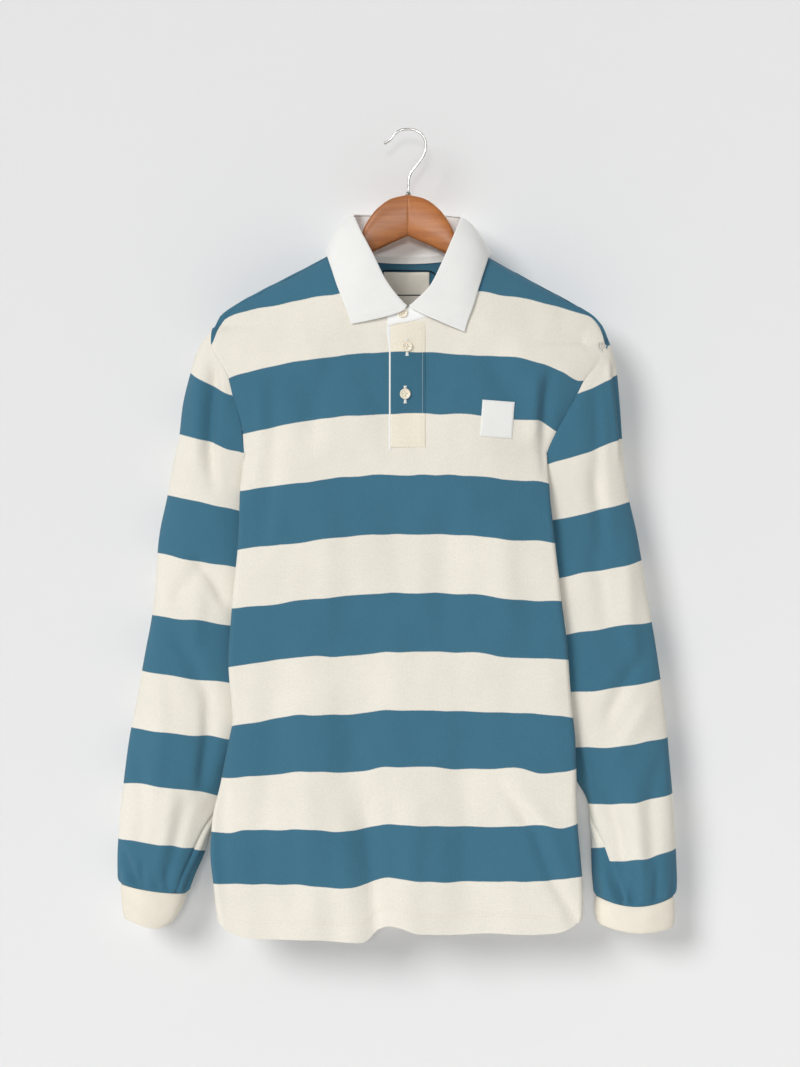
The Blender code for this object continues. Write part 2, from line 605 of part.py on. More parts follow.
def patch(name, left, right, steps, place, wall, finish):
    """Piece laid on the body, its right side to the viewer: place(x, t) with t from top to foot."""
    across, down = steps
    columns = [[place(x, i / down) for i in range(down + 1)] for x in np.linspace(left, right, across + 1)]
    cloth(name, columns, lambda p: Vector((0, -1, 0)), wall, finish)


def make_placket(jersey, twill):
    def placket_row(x, t):
        return front_at(x, mix(PLACKET_TOP + PLACKET_SLANT * x, PLACKET_FOOT, t), LIFT + TWILL)

    def facing_row(x, t):
        return front_at(x, mix(PLACKET_TOP, PLACKET_FOOT, t) - FACING_DROP, LIFT + TWILL)
    patch("placket", PLACKET_LEFT, PLACKET_RIGHT, (4, 8), placket_row, TWILL, jersey)
    edge = PLACKET_LEFT - SEAM
    patch("placket_facing", edge - FACING_WIDTH, edge, (1, 8), facing_row, TWILL, twill)


def make_buttons(corozo):
    """Turned buttons with a raised rim, facing the viewer."""
    radius = BUTTON_DIAMETER / 2
    profile = ((0.0, 0.5), (0.55, 0.45), (0.72, 0.95), (0.88, 1.0), (1.0, 0.6), (0.93, 0.15),
               (0.6, 0.0), (0.0, 0.0))
    for i, button in enumerate(BUTTONS, start=1):
        seat = front_at(button.x, button.z, 2 * LIFT + TWILL)
        turned = bmesh.new()
        verts = [turned.verts.new((r * radius * MM, 0, -h * BUTTON_THICK * MM)) for r, h in profile]
        edges = [turned.edges.new(pair) for pair in zip(verts, verts[1:])]
        bmesh.ops.rotate(turned, verts=turned.verts, cent=(0, 0, 0),
                         matrix=Matrix.Rotation(math.radians(-90), 3, "X"))
        bmesh.ops.spin(turned, geom=verts + edges, axis=(0, 1, 0), cent=(0, 0, 0), steps=14,
                       angle=2 * math.pi, use_merge=True)
        bmesh.ops.remove_doubles(turned, verts=turned.verts, dist=1e-6)
        bmesh.ops.translate(turned, verts=turned.verts, vec=seat * MM)
        add_object(f"button_{i}", turned, corozo)


def make_patch(twill):
    cosine, sine = math.cos(PATCH_TILT), math.sin(PATCH_TILT)

    def row(across, t):
        up = mix(PATCH_HEIGHT / 2, -PATCH_HEIGHT / 2, t)
        x = PATCH_AT[0] + across * cosine - up * sine
        z = PATCH_AT[1] + across * sine + up * cosine
        return front_at(x, z, 2 * LIFT + TWILL)
    patch("chest_patch", -PATCH_WIDTH / 2, PATCH_WIDTH / 2, (3, 3), row, TWILL, twill)


def make_neck_trims(tape, label, cord):
    def tape_row(x, t):
        top = neckline("back", "left", abs(x)) - TAPE_BELOW
        return back_inside(x, top - t * TAPE_HEIGHT, 2 * TRIM_LIFT + TAPE_WALL)

    def label_row(x, t):
        return back_inside(x, mix(LABEL_TOP, LABEL_FOOT, t), TRIM_LIFT + LABEL_WALL)
    patch("neck_tape", -TAPE_REACH, TAPE_REACH, (10, 2), tape_row, TAPE_WALL, tape)
    patch("neck_label", LABEL_LEFT, LABEL_RIGHT, (4, 4), label_row, LABEL_WALL, label)
    route = [back_inside(x, z, TRIM_LIFT + 2 * LIFT + LOOP_RADIUS + lift) for x, z, lift in LOOP]
    tube("hanging_loop", smooth_route(route, 14), LOOP_RADIUS, cord, sides=6)


def make_hanger(wood, steel):
    corners = [math.radians(a) for a in range(0, 360, 30)]
    top, bottom, half = (curve(WOODS, "x", key) for key in ("top", "bottom", "half"))
    stations = [WOODS[0].x] + list(np.linspace(10, 60, 5)) + list(np.linspace(78, WOODS[-1].x, 7))
    for side in ("right", "left"):
        rings = []
        for x in stations:
            ring = []
            low = max(0.0, top(x) - RIDGE[side](x) + WOOD_BELOW) if x > 55 else 0.0
            for a in corners:
                across = math.copysign(abs(math.cos(a)) ** 0.55, math.cos(a)) * half(x)
                up = math.copysign(abs(math.sin(a)) ** 0.75, math.sin(a)) * (top(x) - bottom(x)) / 2
                middle = (top(x) + bottom(x)) / 2 - low
                ring.append(Vector((SIGN[side] * x, ridge_y(x) + across, middle + up)))
            rings.append(ring)
        solid_loft(f"hanger_{side}", rings, wood)
    route = smooth_route([(x, 0, z) for x, z in HOOK], 30)
    tube("hanger_hook", route, WIRE_RADIUS, steel, sides=8)


def main():
    for old in list(bpy.data.objects):
        bpy.data.objects.remove(old, do_unlink=True)
    jersey = material("striped jersey", (0.06, 0.16, 0.25), 0.9)
    rib = material("cream rib", (0.83, 0.79, 0.68), 0.9)
    twill = material("white twill", (0.86, 0.86, 0.84), 0.85)
    corozo = material("corozo", (0.80, 0.68, 0.47), 0.4)
    tape = material("neck tape", (0.80, 0.78, 0.72), 0.9)
    label = material("woven label", (0.45, 0.42, 0.36), 0.8)
    cord = material("dark cord", (0.02, 0.03, 0.05), 0.8)
    wood = material("varnished beech", (0.38, 0.13, 0.04), 0.3)
    steel = material("plated steel", (0.7, 0.7, 0.7), 0.2, 1.0)
    make_body(jersey)
    for side in ("right", "left"):
        make_sleeve(side, jersey)
        make_cuff(side, rib)
    make_collar(twill)
    make_placket(jersey, twill)
    make_buttons(corozo)
    make_patch(twill)
    make_neck_trims(tape, label, cord)
    make_hanger(wood, steel)


main()
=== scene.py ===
# %% [markdown]
# A striped polo shirt on a wooden hanger. The shirt is flat cloth that was cut,
# sewn into tubes and hung up, so nearly every piece here is one grid of points,
# laid on the form that the hanging garment takes, and given the cloth's
# thickness afterwards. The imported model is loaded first: it is the frame that
# says where everything is.

import math
from collections import namedtuple

import bmesh
import bpy
import numpy as np
from mathutils import Matrix, Vector, noise


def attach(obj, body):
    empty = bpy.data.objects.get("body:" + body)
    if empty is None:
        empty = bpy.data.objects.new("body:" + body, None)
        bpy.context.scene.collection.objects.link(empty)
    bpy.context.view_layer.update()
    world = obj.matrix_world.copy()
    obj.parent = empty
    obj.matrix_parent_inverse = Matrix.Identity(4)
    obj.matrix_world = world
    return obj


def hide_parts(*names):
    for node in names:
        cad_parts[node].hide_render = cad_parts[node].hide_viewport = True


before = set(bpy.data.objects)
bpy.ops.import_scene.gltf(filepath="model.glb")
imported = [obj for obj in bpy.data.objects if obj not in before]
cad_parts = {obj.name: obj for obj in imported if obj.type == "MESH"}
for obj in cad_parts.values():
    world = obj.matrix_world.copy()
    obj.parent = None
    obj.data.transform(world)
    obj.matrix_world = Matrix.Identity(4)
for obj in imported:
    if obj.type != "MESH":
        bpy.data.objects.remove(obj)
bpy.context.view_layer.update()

# %% [markdown]
# Everything is written in millimetres, because that is how a garment is
# measured, and MM turns a place into metres where a mesh is made. X runs to the
# viewer's right, Y away from the viewer, Z up, and the origin is the inside top
# of the hook. "left" and "right" are the wearer's, so the left side is at +X.

# %% Units and sides
MM = 0.001
SIGN = {"right": -1, "left": 1, "front": -1, "back": 1}


def named(fields, *rows):
    """A short table: each row gets the names of the fields."""
    row_type = namedtuple("Row", fields)
    return tuple(row_type(*row) for row in rows)


def through(xs, ys):
    """A smooth curve through points with rising xs, with no overshoot, for one number or an array."""
    xs, ys = np.array(xs, float), np.array(ys, float)
    steps = np.diff(xs)
    slopes = np.diff(ys) / steps
    tangents = np.concatenate(([slopes[0]], np.zeros(len(xs) - 2), [slopes[-1]]))
    for i in range(1, len(xs) - 1):
        if slopes[i - 1] * slopes[i] > 0:
            tangents[i] = 2 * slopes[i - 1] * slopes[i] / (slopes[i - 1] + slopes[i])

    def at(x):
        x = np.clip(x, xs[0], xs[-1])
        i = np.clip(np.searchsorted(xs, x, side="right") - 1, 0, len(steps) - 1)
        t = (x - xs[i]) / steps[i]
        rise = ys[i + 1] - ys[i]
        return (ys[i] + rise * t * t * (3 - 2 * t)
                + steps[i] * t * (1 - t) * ((1 - t) * tangents[i] - t * tangents[i + 1]))
    return at


def curve(rows, key, value):
    """The curve through two named columns of a table."""
    pairs = sorted((getattr(row, key), getattr(row, value)) for row in rows)
    return through(*zip(*pairs))


def between(a, b, c, d, t):
    """The smooth curve through four values, a share t of the way from the second to the third."""
    return 0.5 * (2 * b + (c - a) * t + (2 * a - 5 * b + 4 * c - d) * t ** 2
                  + (3 * b - a - 3 * c + d) * t ** 3)


def near(distance, width):
    """1 where the distance is none, fading to 0 in a bell some widths away."""
    return np.exp(-(distance / width) ** 2)


def smoothstep(t):
    """A soft step: 0 up to t = 0, 1 from t = 1."""
    t = np.clip(t, 0.0, 1.0)
    return t * t * (3 - 2 * t)


def mix(a, b, t):
    """A share t of the way from a to b."""
    return a + (b - a) * t


# %% [markdown]
# The first real decision is the camera. The photograph was taken from straight
# ahead with a long lens, level with the middle of the shirt, so one millimetre
# is almost the same everywhere in it. The lens is worked out from the frame:
# 1067 pixels of 1.06 mm at 3 metres.

# %% Camera
PHOTO_TALL = 1067           # pixels
PIXEL = 1.06                # mm to a pixel, at DISTANCE from the camera
DISTANCE = 3000.0           # from the lens to the front of the shirt
SHIRT_FRONT = 20.0          # which lies this far before the hook
AIM_X, AIM_Z = -8.5, -430.0
SENSOR = 36.0
eye = bpy.data.cameras.new("photographer")
eye.sensor_width = SENSOR
eye.lens = SENSOR * DISTANCE / (PHOTO_TALL * PIXEL)
camera = bpy.data.objects.new("photographer", eye)
camera.location = (AIM_X * MM, -(DISTANCE + SHIRT_FRONT) * MM, AIM_Z * MM)
camera.rotation_euler = (math.radians(90), 0, 0)
bpy.context.scene.collection.objects.link(camera)
bpy.context.scene.camera = camera
print("lens", round(eye.lens, 1), "mm")

# %% [markdown]
# The garment form. A hanging shirt is a flattened body tube whose side folds
# lap over the sleeves, two sleeve tubes that start at the armhole seams, and
# shoulders that fall over the hanger. These are the sizes of those parts, each
# measured down the shirt.

# %% Sizes of the garment form
ARMPIT = -430.0         # height of the underarm points
FOLD_TOP = -344.0       # the side folds start here and grow downwards
FOLD_RAMP = 86.0        # height over which a side fold grows to its full size
FOLD_RADIUS = {"front": 6.5, "back": 5.5}
FOLD_SWELL = 60.0       # height over which its radius grows
BACK_FOLD_IN = 4.0      # the back's fold ends this far inside the front's
SEAM_IN = 13.0          # a side seam lies this far in from its fold
SEAM_CLEAR = 4.0        # air between a side seam and the sleeve
SEAM_RAMP = 40.0        # height over which that air opens
SHOULDER_ROUND = 110.0  # height over which the cloth rounds away from the ridge
NECK_HALF = 70.0        # neck point, from the middle
NECK_FRONT, NECK_BACK = -203.0, -134.0
BOW = 8.0               # how far the hanger's tips curve forward
LIFT = 0.3              # air between two pieces that touch

SHOULDERS = {
    "right": named("x ridge seam", (0, -93, -94), (70, -125, -126.5), (86, -133.8, -135.5),
                   (113, -148.4, -150.6), (135, -159.5, -162.2), (156, -170.2, -173.5),
                   (178, -182.1, -186.5), (189, -189.3, -194.5), (197.5, -195.6, -205),
                   (203, -202, -215), (208.5, -212, -229.5)),
    "left": named("x ridge seam", (0, -93, -94), (70, -125.5, -126.5), (86, -135, -136.2),
                  (115, -151.4, -152.6), (137, -163.6, -164.8), (158, -174.6, -175.8),
                  (180, -186.5, -188.1), (191, -193, -195.6), (200, -199.6, -203.6),
                  (208, -209.5, -215.5), (215.5, -229, -234)),
}
BODY_FOLDS = named("z right left", (-344, 174.0, 147.8), (-385, 178.4, 150.2), (-430, 179.6, 155.2),
                   (-508, 186.6, 163.2), (-563, 189.3, 169.4), (-622, 189.0, 174.1),
                   (-650, 192.5, 176.6), (-690, 198.7, 177.4), (-736, 208.5, 178.5),
                   (-764, 210.0, 180.6), (-802, 205.7, 184.6), (-832, 201.0, 185.8),
                   (-848, 197.5, 181.5), (-858, 190.0, 176.0))
ARMHOLES = {
    "right": named("z x", (-212, 208.5), (-221, 209.4), (-229.5, 209.3), (-244, 201.8), (-265, 190.4),
                   (-279, 187.2), (-323, 175.5), (-344, 174.0), (-365, 168.0), (-395, 158.0),
                   (-415, 150.0), (-430, 142.0)),
    "left": named("z x", (-229, 215.5), (-232, 210.6), (-246, 203.9), (-267, 187.0), (-282, 179.6),
                  (-322, 157.4), (-344, 147.8), (-365, 142.6), (-395, 134.0), (-415, 126.5),
                  (-430, 118.0)),
}
BACK_ARMHOLE_OUT = 6.0  # the back armhole is cut this much less deep
SLEEVES = {
    "right": named("z outer inner", (-212, 208.5, 142), (-229, 220.0, 142), (-260, 231.2, 142),
                   (-293, 238.8, 142), (-325, 242.6, 142), (-357, 250.6, 142), (-389, 256.5, 142),
                   (-430, 264.6, 142), (-485, 269.6, 145), (-549, 280.6, 150), (-600, 287.6, 157),
                   (-645, 296.1, 170), (-690, 302.8, 188), (-736, 309.0, 208), (-770, 311.1, 218.5),
                   (-792, 309.6, 227.6), (-814, 304.6, 236.2)),
    "left": named("z outer inner", (-229, 215.5, 118), (-245, 220.6, 118), (-260, 224.6, 118),
                  (-293, 227.8, 118), (-325, 228.9, 118), (-357, 230.6, 118), (-389, 235.4, 118),
                  (-430, 244.6, 118), (-501, 255.6, 125), (-565, 266.3, 132), (-629, 274.8, 146),
                  (-661, 278.6, 160), (-691, 282.0, 178), (-718, 284.2, 192), (-758, 285.9, 195.8),
                  (-792, 286.6, 197.0), (-828, 283.0, 201.6)),
}
SLEEVE_DEPTHS = named("z middle half", (-212, -8, 12), (-240, -5, 16.5), (-280, -1, 20), (-344, 3, 22),
                      (-430, 6, 22), (-600, 6, 21.5), (-700, 5, 21.5), (-790, 4, 21), (-828, 3, 18))
BODY_DEPTHS = named("z front back half", (-90, -31, 38, 25), (-211, -35, 42, 25), (-344, -37, 45, 25),
                    (-600, -38, 46, 25), (-760, -37, 45, 24), (-870, -34, 41, 20))
HEMS = {
    "front": named("x z", (-214, -848), (-205, -853.5), (-197, -856.5), (-186, -858.0), (-170, -858.6),
                   (-110, -859), (-75, -861.4), (-54, -862), (-45, -857.7), (-34.5, -848.8),
                   (-22, -844.4), (-9, -846.2), (12, -852.4), (50, -853.5), (90, -852.0),
                   (140, -853.8), (165, -852.6), (180, -848), (190, -841)),
    "back": named("x z", (-205, -846), (-150, -851), (-95, -848.5), (-30, -850.5), (45, -848),
                  (110, -850.5), (190, -842)),
}

RIDGE = {side: curve(SHOULDERS[side], "x", "ridge") for side in SHOULDERS}
SHOULDER_SEAM = {side: curve(SHOULDERS[side], "x", "seam") for side in SHOULDERS}
TIP = {side: SHOULDERS[side][-1] for side in SHOULDERS}
FOLD = {side: curve(BODY_FOLDS, "z", side) for side in SHOULDERS}
ARMHOLE = {side: curve(ARMHOLES[side], "z", "x") for side in SHOULDERS}
OUTER = {side: curve(SLEEVES[side], "z", "outer") for side in SHOULDERS}
INNER = {side: curve(SLEEVES[side], "z", "inner") for side in SHOULDERS}
MIDDLE = curve(SLEEVE_DEPTHS, "z", "middle")
HALF = curve(SLEEVE_DEPTHS, "z", "half")
CENTRE = {face: curve(BODY_DEPTHS, "z", face) for face in ("front", "back")}
BODY_HALF = curve(BODY_DEPTHS, "z", "half")
HEM = {face: curve(HEMS[face], "x", "z") for face in HEMS}
print("body", round(TIP["right"].x + TIP["left"].x), "mm across the shoulders,",
      round(RIDGE["right"](NECK_HALF) - HEM["front"](0)), "mm from neck point to hem")

# %% [markdown]
# A level section through the body is the useful unit: from the middle of the
# front it runs out along the broad face, turns round the side fold and comes
# back behind it to the side seam. Everything that lies on the body is found by
# height and by share of that section, so a stripe, a crease or a seam can be
# placed on the cloth and not in the air.


# %% Sections of the body
FACE_STEPS, FOLD_STEPS, WALL_STEPS = 64, 20, 20
FACE_SHARE, FOLD_SHARE = 0.62, 0.80   # where the face and the fold end, as shares of a row


def sleeve_share(side, x, z):
    """Where x lies between a sleeve's outer edge (0) and inner edge (1)."""
    outer = OUTER[side](z)
    return np.clip((outer - x) / (outer - INNER[side](z)), 0.0, 1.0)


def sleeve_y(side, face, x, z):
    """Depth of a sleeve's smooth form at x, on its front or its back."""
    share = sleeve_share(side, x, z)
    return MIDDLE(z) + SIGN[face] * HALF(z) * 2 * np.sqrt(share * (1 - share))


def armhole_x(side, face, z):
    """Where the armhole seam lies at height z, from the middle."""
    top, foot = TIP[side].ridge, FOLD_TOP
    x = ARMHOLE[side](z)
    if face == "back":
        x = x + BACK_ARMHOLE_OUT * np.sin(math.pi * np.clip((top - z) / (top - foot), 0, 1)) ** 2
    return x


def ridge_y(x):
    """Depth of the shoulder ridge at x."""
    return -BOW * (x / TIP["right"].x) ** 2


def face_y(side, face, x, z, reach, edge):
    """Depth of a body panel's broad face at x, which ends at reach with depth edge."""
    flat = mix(CENTRE[face](z), edge, (x / reach) ** 5)
    drop = np.clip((RIDGE[side](x) - z) / SHOULDER_ROUND, 0.0, 1.0)
    return mix(ridge_y(x), flat, np.sqrt(1 - (1 - drop) ** 2))


def section(side, face, z):
    """Half level sections at heights z, one row of points for each, from the middle to the seam."""
    z = np.atleast_1d(np.asarray(z, float))[:, None]
    turn = SIGN[face]
    grown = smoothstep((FOLD_TOP - z) / FOLD_RAMP)
    t = np.linspace(0, 1, FACE_STEPS + 1)[None, :]

    low = np.minimum(z, TIP[side].ridge)
    high_reach = armhole_x(side, face, low)
    high_edge = sleeve_y(side, face, high_reach, low)
    miss = high_edge - face_y(side, face, high_reach, z, high_reach, high_edge)
    high_x = t * high_reach
    high_y = face_y(side, face, high_x, z, high_reach, high_edge) + miss * t ** 6

    radius = FOLD_RADIUS[face] * np.clip((FOLD_TOP - z) / FOLD_SWELL, 0.0, 1.0) ** 0.7
    reach = FOLD[side](z) - (0 if face == "front" else BACK_FOLD_IN * grown)
    behind = np.abs(sleeve_y(side, face, reach, z) - MIDDLE(z)) + LIFT
    wall = MIDDLE(z) + turn * mix(behind, BODY_HALF(z), grown)
    edge = wall + turn * 2 * radius
    clear = SEAM_CLEAR * smoothstep((ARMPIT - z) / SEAM_RAMP)
    hole_x = armhole_x(side, face, z)
    seam_x = np.where(z >= ARMPIT, hole_x, np.minimum(reach - SEAM_IN, INNER[side](z) - clear))
    seam_y = np.where(z >= ARMPIT, sleeve_y(side, face, hole_x, z), MIDDLE(z))
    end = reach - radius
    face_x = t * end
    face_depth = face_y(side, face, face_x, z, end, edge)
    a = np.linspace(0, math.pi, FOLD_STEPS + 1)[None, 1:]
    b = np.linspace(0, math.pi / 2, WALL_STEPS + 1)[None, 1:]
    fold_x, fold_depth = end + radius * np.sin(a), wall + turn * radius * (1 + np.cos(a))
    wall_x = end - (end - seam_x) * np.sin(b)
    wall_depth = seam_y + (wall - seam_y) * np.cos(b)

    above = z >= FOLD_TOP
    x = np.hstack([np.where(above, high_x, face_x), np.where(above, high_x[:, -1:], fold_x),
                   np.where(above, high_x[:, -1:], wall_x)])
    y = np.hstack([np.where(above, high_y, face_depth), np.where(above, high_y[:, -1:], fold_depth),
                   np.where(above, high_y[:, -1:], wall_depth)])
    return x, y


def panel_points(side, face, share, z, gap=0.05):
    """Places on a body panel, and how far along the cloth each lies from the middle."""
    share, z = np.broadcast_arrays(np.asarray(share, float), np.asarray(z, float))
    shape = share.shape
    share, z = share.ravel(), z.ravel()
    x, y = section(side, face, z)
    rows = np.arange(len(z))
    lengths = np.hstack([np.zeros((len(z), 1)), np.cumsum(np.hypot(np.diff(x), np.diff(y)), axis=1)])
    whole, face_end, fold_end = lengths[:, -1], lengths[:, FACE_STEPS], lengths[:, FACE_STEPS + FOLD_STEPS]
    grown = smoothstep((FOLD_TOP - z) / FOLD_RAMP)
    knot_a = mix(face_end / whole, FACE_SHARE, grown)
    knot_b = mix(fold_end / whole, FOLD_SHARE, grown)
    on_face = share / np.maximum(knot_a, 1e-9) * face_end
    on_fold = face_end + (share - knot_a) / np.maximum(knot_b - knot_a, 1e-9) * (fold_end - face_end)
    on_wall = fold_end + (share - knot_b) / np.maximum(1 - knot_b, 1e-9) * (whole - fold_end)
    along = np.where(share <= knot_a, on_face, np.where(share <= knot_b, on_fold, on_wall))
    along = np.clip(along, 0, whole) * (whole - gap) / whole
    i = np.clip((lengths < along[:, None]).sum(axis=1) - 1, 0, lengths.shape[1] - 2)
    t = (along - lengths[rows, i]) / np.maximum(lengths[rows, i + 1] - lengths[rows, i], 1e-9)
    places = np.stack([SIGN[side] * mix(x[rows, i], x[rows, i + 1], t),
                       mix(y[rows, i], y[rows, i + 1], t), z], axis=-1)
    return places.reshape(shape + (3,)), along.reshape(shape)


def neckline(face, side, x):
    """Height of the cut neck edge at x, out to the neck point."""
    share = abs(x) / NECK_HALF
    if face == "front":
        return mix(NECK_FRONT, SHOULDER_SEAM[side](NECK_HALF), share ** 2.2)
    return mix(NECK_BACK, RIDGE[side](NECK_HALF), share ** 2.6)


print("section at the chest is", round(2 * section("left", "front", -400.0)[0].max()), "mm across")

# %% [markdown]
# Stripes come next, because they are what the eye checks first. The cloth is
# knitted in bands of about 63 mm, but on a hanging shirt they sag and wave. So
# each stripe edge is measured at a few places across the shirt, and every point
# of the cloth is told how many edges lie above it. The material turns that
# count into colour: even counts are cream, odd counts are blue.

# %% Stripe edges
STATIONS = (-205, -188, -172, -109, -61, -20, 12, 61, 112, 140, 162, 184)   # across the front
TIP_STATIONS = (197, 203, 209, 213)     # and on to the tip of the left shoulder
BODY_EDGES = (
    (-206, -198, -194, -182, -175, -172, -172, -173, -180, -185, -190, -195.5),
    (-271, -265, -260, -247, -241, -239, -239, -241, -244, -251, -258, -269),
    (-329, -326, -323, -312, -306, -304, -304, -305, -309, -311, -323, -326),
    (-388, -386, -384, -376, -370, -368, -368, -369, -374, -375, -378, -379),
    (-449, -448, -446, -439, -433, -431, -431, -432, -437, -438, -440, -441),
    (-510, -509, -508, -500, -496, -493, -493, -494, -500, -501, -502, -504),
    (-572, -571, -569, -560, -559, -555, -555, -555, -561, -562, -563, -565),
    (-634, -633, -631, -621, -621, -616, -616, -617, -619, -621, -623, -625),
    (-689, -688, -687, -681, -682, -676, -676, -679, -677, -683, -682, -678),
    (-745, -746, -743, -742, -744, -735.5, -738, -739, -740, -738, -740.5, -736),
    (-800, -800, -800, -801, -804, -792.5, -797, -798, -797.5, -797, -795, -791.5))
TIP_EDGE = (-199.5, -205, -215, -232)   # the top edge bends down there; the others run level
FRONT_EDGES = [row + (TIP_EDGE if row is BODY_EDGES[0] else row[-1:] * len(TIP_EDGE)) for row in BODY_EDGES]
BACK_DROP = (38, 33, 27, 20, 14, 9, 5, 2, 0, 0, 0)  # the back's edges lie this much lower
SLEEVE_EDGES = {    # outer edge, middle, inner edge; the count starts at 1
    "right": ((-260, -282, -299), (-324, -339, -354), (-389, -401, -413), (-452, -462, -471),
              (-516, -524, -531), (-577, -585, -590), (-638, -644, -650), (-697, -700, -711),
              (-755, -760, -766)),
    "left": ((-260, -286, -304), (-329, -349, -363), (-396, -411, -425), (-460, -472, -483),
             (-524, -533, -544), (-586, -596, -602), (-647, -656, -658), (-707, -716, -718),
             (-766, -777, -778)),
}
STRIPE = 63.0


def edges_above(edges, z):
    """How many stripe edges lie above z, with a fraction; it stops half-way past the last edge."""
    count = np.clip((edges[-1] - z) / STRIPE, 0, 0.5) - np.clip((z - edges[0]) / STRIPE, 0, 0.5)
    for upper, lower in zip(edges, edges[1:]):
        count = count + np.clip((upper - z) / (upper - lower), 0, 1)
    return count


def body_stripes(face, u, z):
    """The stripe count of a body panel, a distance u from the middle; the edges waver by a millimetre."""
    z = z + unevenness(u, z, 12.5, (20, 60), 1.4)
    if face == "front":
        return edges_above([through(STATIONS + TIP_STATIONS, row)(u) for row in FRONT_EDGES], z)
    across = np.clip((u - STATIONS[2]) / (STATIONS[-1] - STATIONS[2]), 0, 1)
    return edges_above([mix(row[2], row[-1], across) - drop for row, drop in zip(BODY_EDGES, BACK_DROP)], z)


def sleeve_stripes(side, share, z):
    """The same for a sleeve: each edge is a parabola through its three measured heights."""
    z = z + unevenness(160 * share, z, SIGN[side] * 2.2, (34, 60), 2.2)
    edges = [outer * (1 - share) * (1 - 2 * share) + middle * 4 * share * (1 - share)
             + inner * share * (2 * share - 1) for outer, middle, inner in SLEEVE_EDGES[side]]
    return 1 + edges_above(edges, z)


print(len(BODY_EDGES), "stripe edges on the front,", len(SLEEVE_EDGES["left"]), "on each sleeve")

# %% [markdown]
# A hanging shirt is never smooth: it has a few long soft troughs where it
# hangs from the shoulders and turns in at the armholes, and a slow unevenness
# all over. Each crease is a route over the cloth with a width and a height in
# millimetres; a height above zero is a ridge. They fade out at both ends, as
# real ones do, and lean to one side so that they don't look drawn.

# %% Creases
Crease = namedtuple("Crease", "width height lean route")


def crease_height(crease, u, z):
    """Height of one crease at the places (u, z) of a cloth."""
    route = np.array(crease.route, float)
    steps = np.diff(route, axis=0)
    lengths = np.hypot(*steps.T)
    starts = np.concatenate(([0], np.cumsum(lengths)))
    nearest, along, lean = np.full(np.shape(u), 1e9), np.zeros(np.shape(u)), np.zeros(np.shape(u))
    for (a, b), (du, dz), length, start in zip(route, steps, lengths, starts):
        t = np.clip(((u - a) * du + (z - b) * dz) / length ** 2, 0, 1)
        away_u, away_z = u - a - t * du, z - b - t * dz
        away = np.hypot(away_u, away_z)
        closer = away < nearest
        along = np.where(closer, start + t * length, along)
        lean = np.where(closer, np.sign(du * away_z - dz * away_u), lean)
        nearest = np.minimum(nearest, away)
    fade = smoothstep(along / (0.3 * starts[-1])) * smoothstep((starts[-1] - along) / (0.3 * starts[-1]))
    q = nearest / crease.width * (1 + crease.lean * lean)
    return crease.height * fade * np.exp(-q * q)


def unevenness(u, z, seed, size, height):
    """Slow, irregular waves over a cloth, about size apart."""
    u, z = np.broadcast_arrays(u, z)
    flat = [noise.noise(Vector((a / size[0], b / size[1], seed))) for a, b in zip(u.ravel(), z.ravel())]
    return height * np.reshape(flat, u.shape)


FRONT_CREASES = (
    Crease(11, -4.4, 0.3, ((-148, -250), (-143, -330), (-150, -410), (-158, -470))),
    Crease(9, 3.0, -0.3, ((-158, -262), (-156, -330), (-164, -400))),
    Crease(7, -5.2, -0.2, ((152, -244), (148, -275), (145, -305), (149, -345), (146, -380))),
    Crease(8, 3.4, 0.2, ((137, -250), (134, -280), (133, -310), (131, -345))),
    Crease(5, -4.2, 0.3, ((88, -680), (110, -710), (133, -741), (152, -792), (173, -829), (194, -880))),
    Crease(9, 2.8, -0.2, ((104, -680), (126, -712), (149, -744), (168, -792), (190, -832))),
    Crease(22, -3.6, 0.2, ((-46, -540), (-54, -640), (-52, -720), (-48, -790))),
    Crease(8, -5.0, 0.2, ((-46, -690), (-39, -770), (-33, -850), (-28, -940))),
    Crease(14, 3.4, 0.0, ((-72, -680), (-65, -770), (-60, -850), (-58, -940))),
    Crease(16, 2.6, 0.1, ((8, -690), (2, -770), (4, -850), (6, -940))),
    Crease(20, 2.8, 0.0, ((-100, -590), (-104, -700), (-98, -800), (-98, -920))),
    Crease(24, -3.4, -0.2, ((56, -570), (62, -690), (66, -790), (72, -920))),
    Crease(7, -2.8, 0.3, ((-186, -560), (-192, -660), (-196, -760), (-190, -860))),
    Crease(16, -3.0, 0.0, ((-132, -490), (-140, -620), (-150, -720), (-160, -830))),
    Crease(14, -2.6, 0.2, ((-60, -212), (-92, -280), (-108, -360))),
    Crease(14, -2.4, -0.2, ((66, -222), (96, -262), (118, -300))),
    Crease(18, 2.6, 0.2, ((92, -390), (102, -480), (114, -580))),
    Crease(18, -2.6, 0.0, ((34, -360), (42, -450), (38, -570))),
    Crease(20, 2.4, -0.1, ((-86, -350), (-92, -450), (-84, -560))),
)
BACK_CREASES = (
    Crease(14, -4.4, 0.3, ((-150, -240), (-144, -330), (-152, -420))),
    Crease(13, -4.6, -0.3, ((146, -240), (140, -330), (138, -420))),
    Crease(18, -3.8, 0.2, ((-124, -320), (-80, -410), (-56, -560))),
    Crease(20, -4.0, -0.2, ((122, -340), (78, -440), (52, -600))),
    Crease(18, 3.0, -0.2, ((-96, -300), (-48, -400), (-26, -520))),
    Crease(18, 3.0, 0.2, ((92, -320), (44, -430), (22, -560))),
    Crease(22, -4.2, 0.2, ((-30, -540), (-40, -680), (-34, -920))),
    Crease(18, 3.2, 0.0, ((-92, -580), (-100, -720), (-106, -920))),
    Crease(20, 3.0, -0.1, ((28, -620), (36, -760), (34, -920))),
    Crease(16, -3.4, 0.1, ((94, -600), (110, -740), (120, -920))),
    Crease(12, 2.4, 0.3, ((-60, -168), (-104, -200), (-140, -228))),
    Crease(12, 2.4, -0.3, ((58, -170), (100, -202), (142, -236))),
)


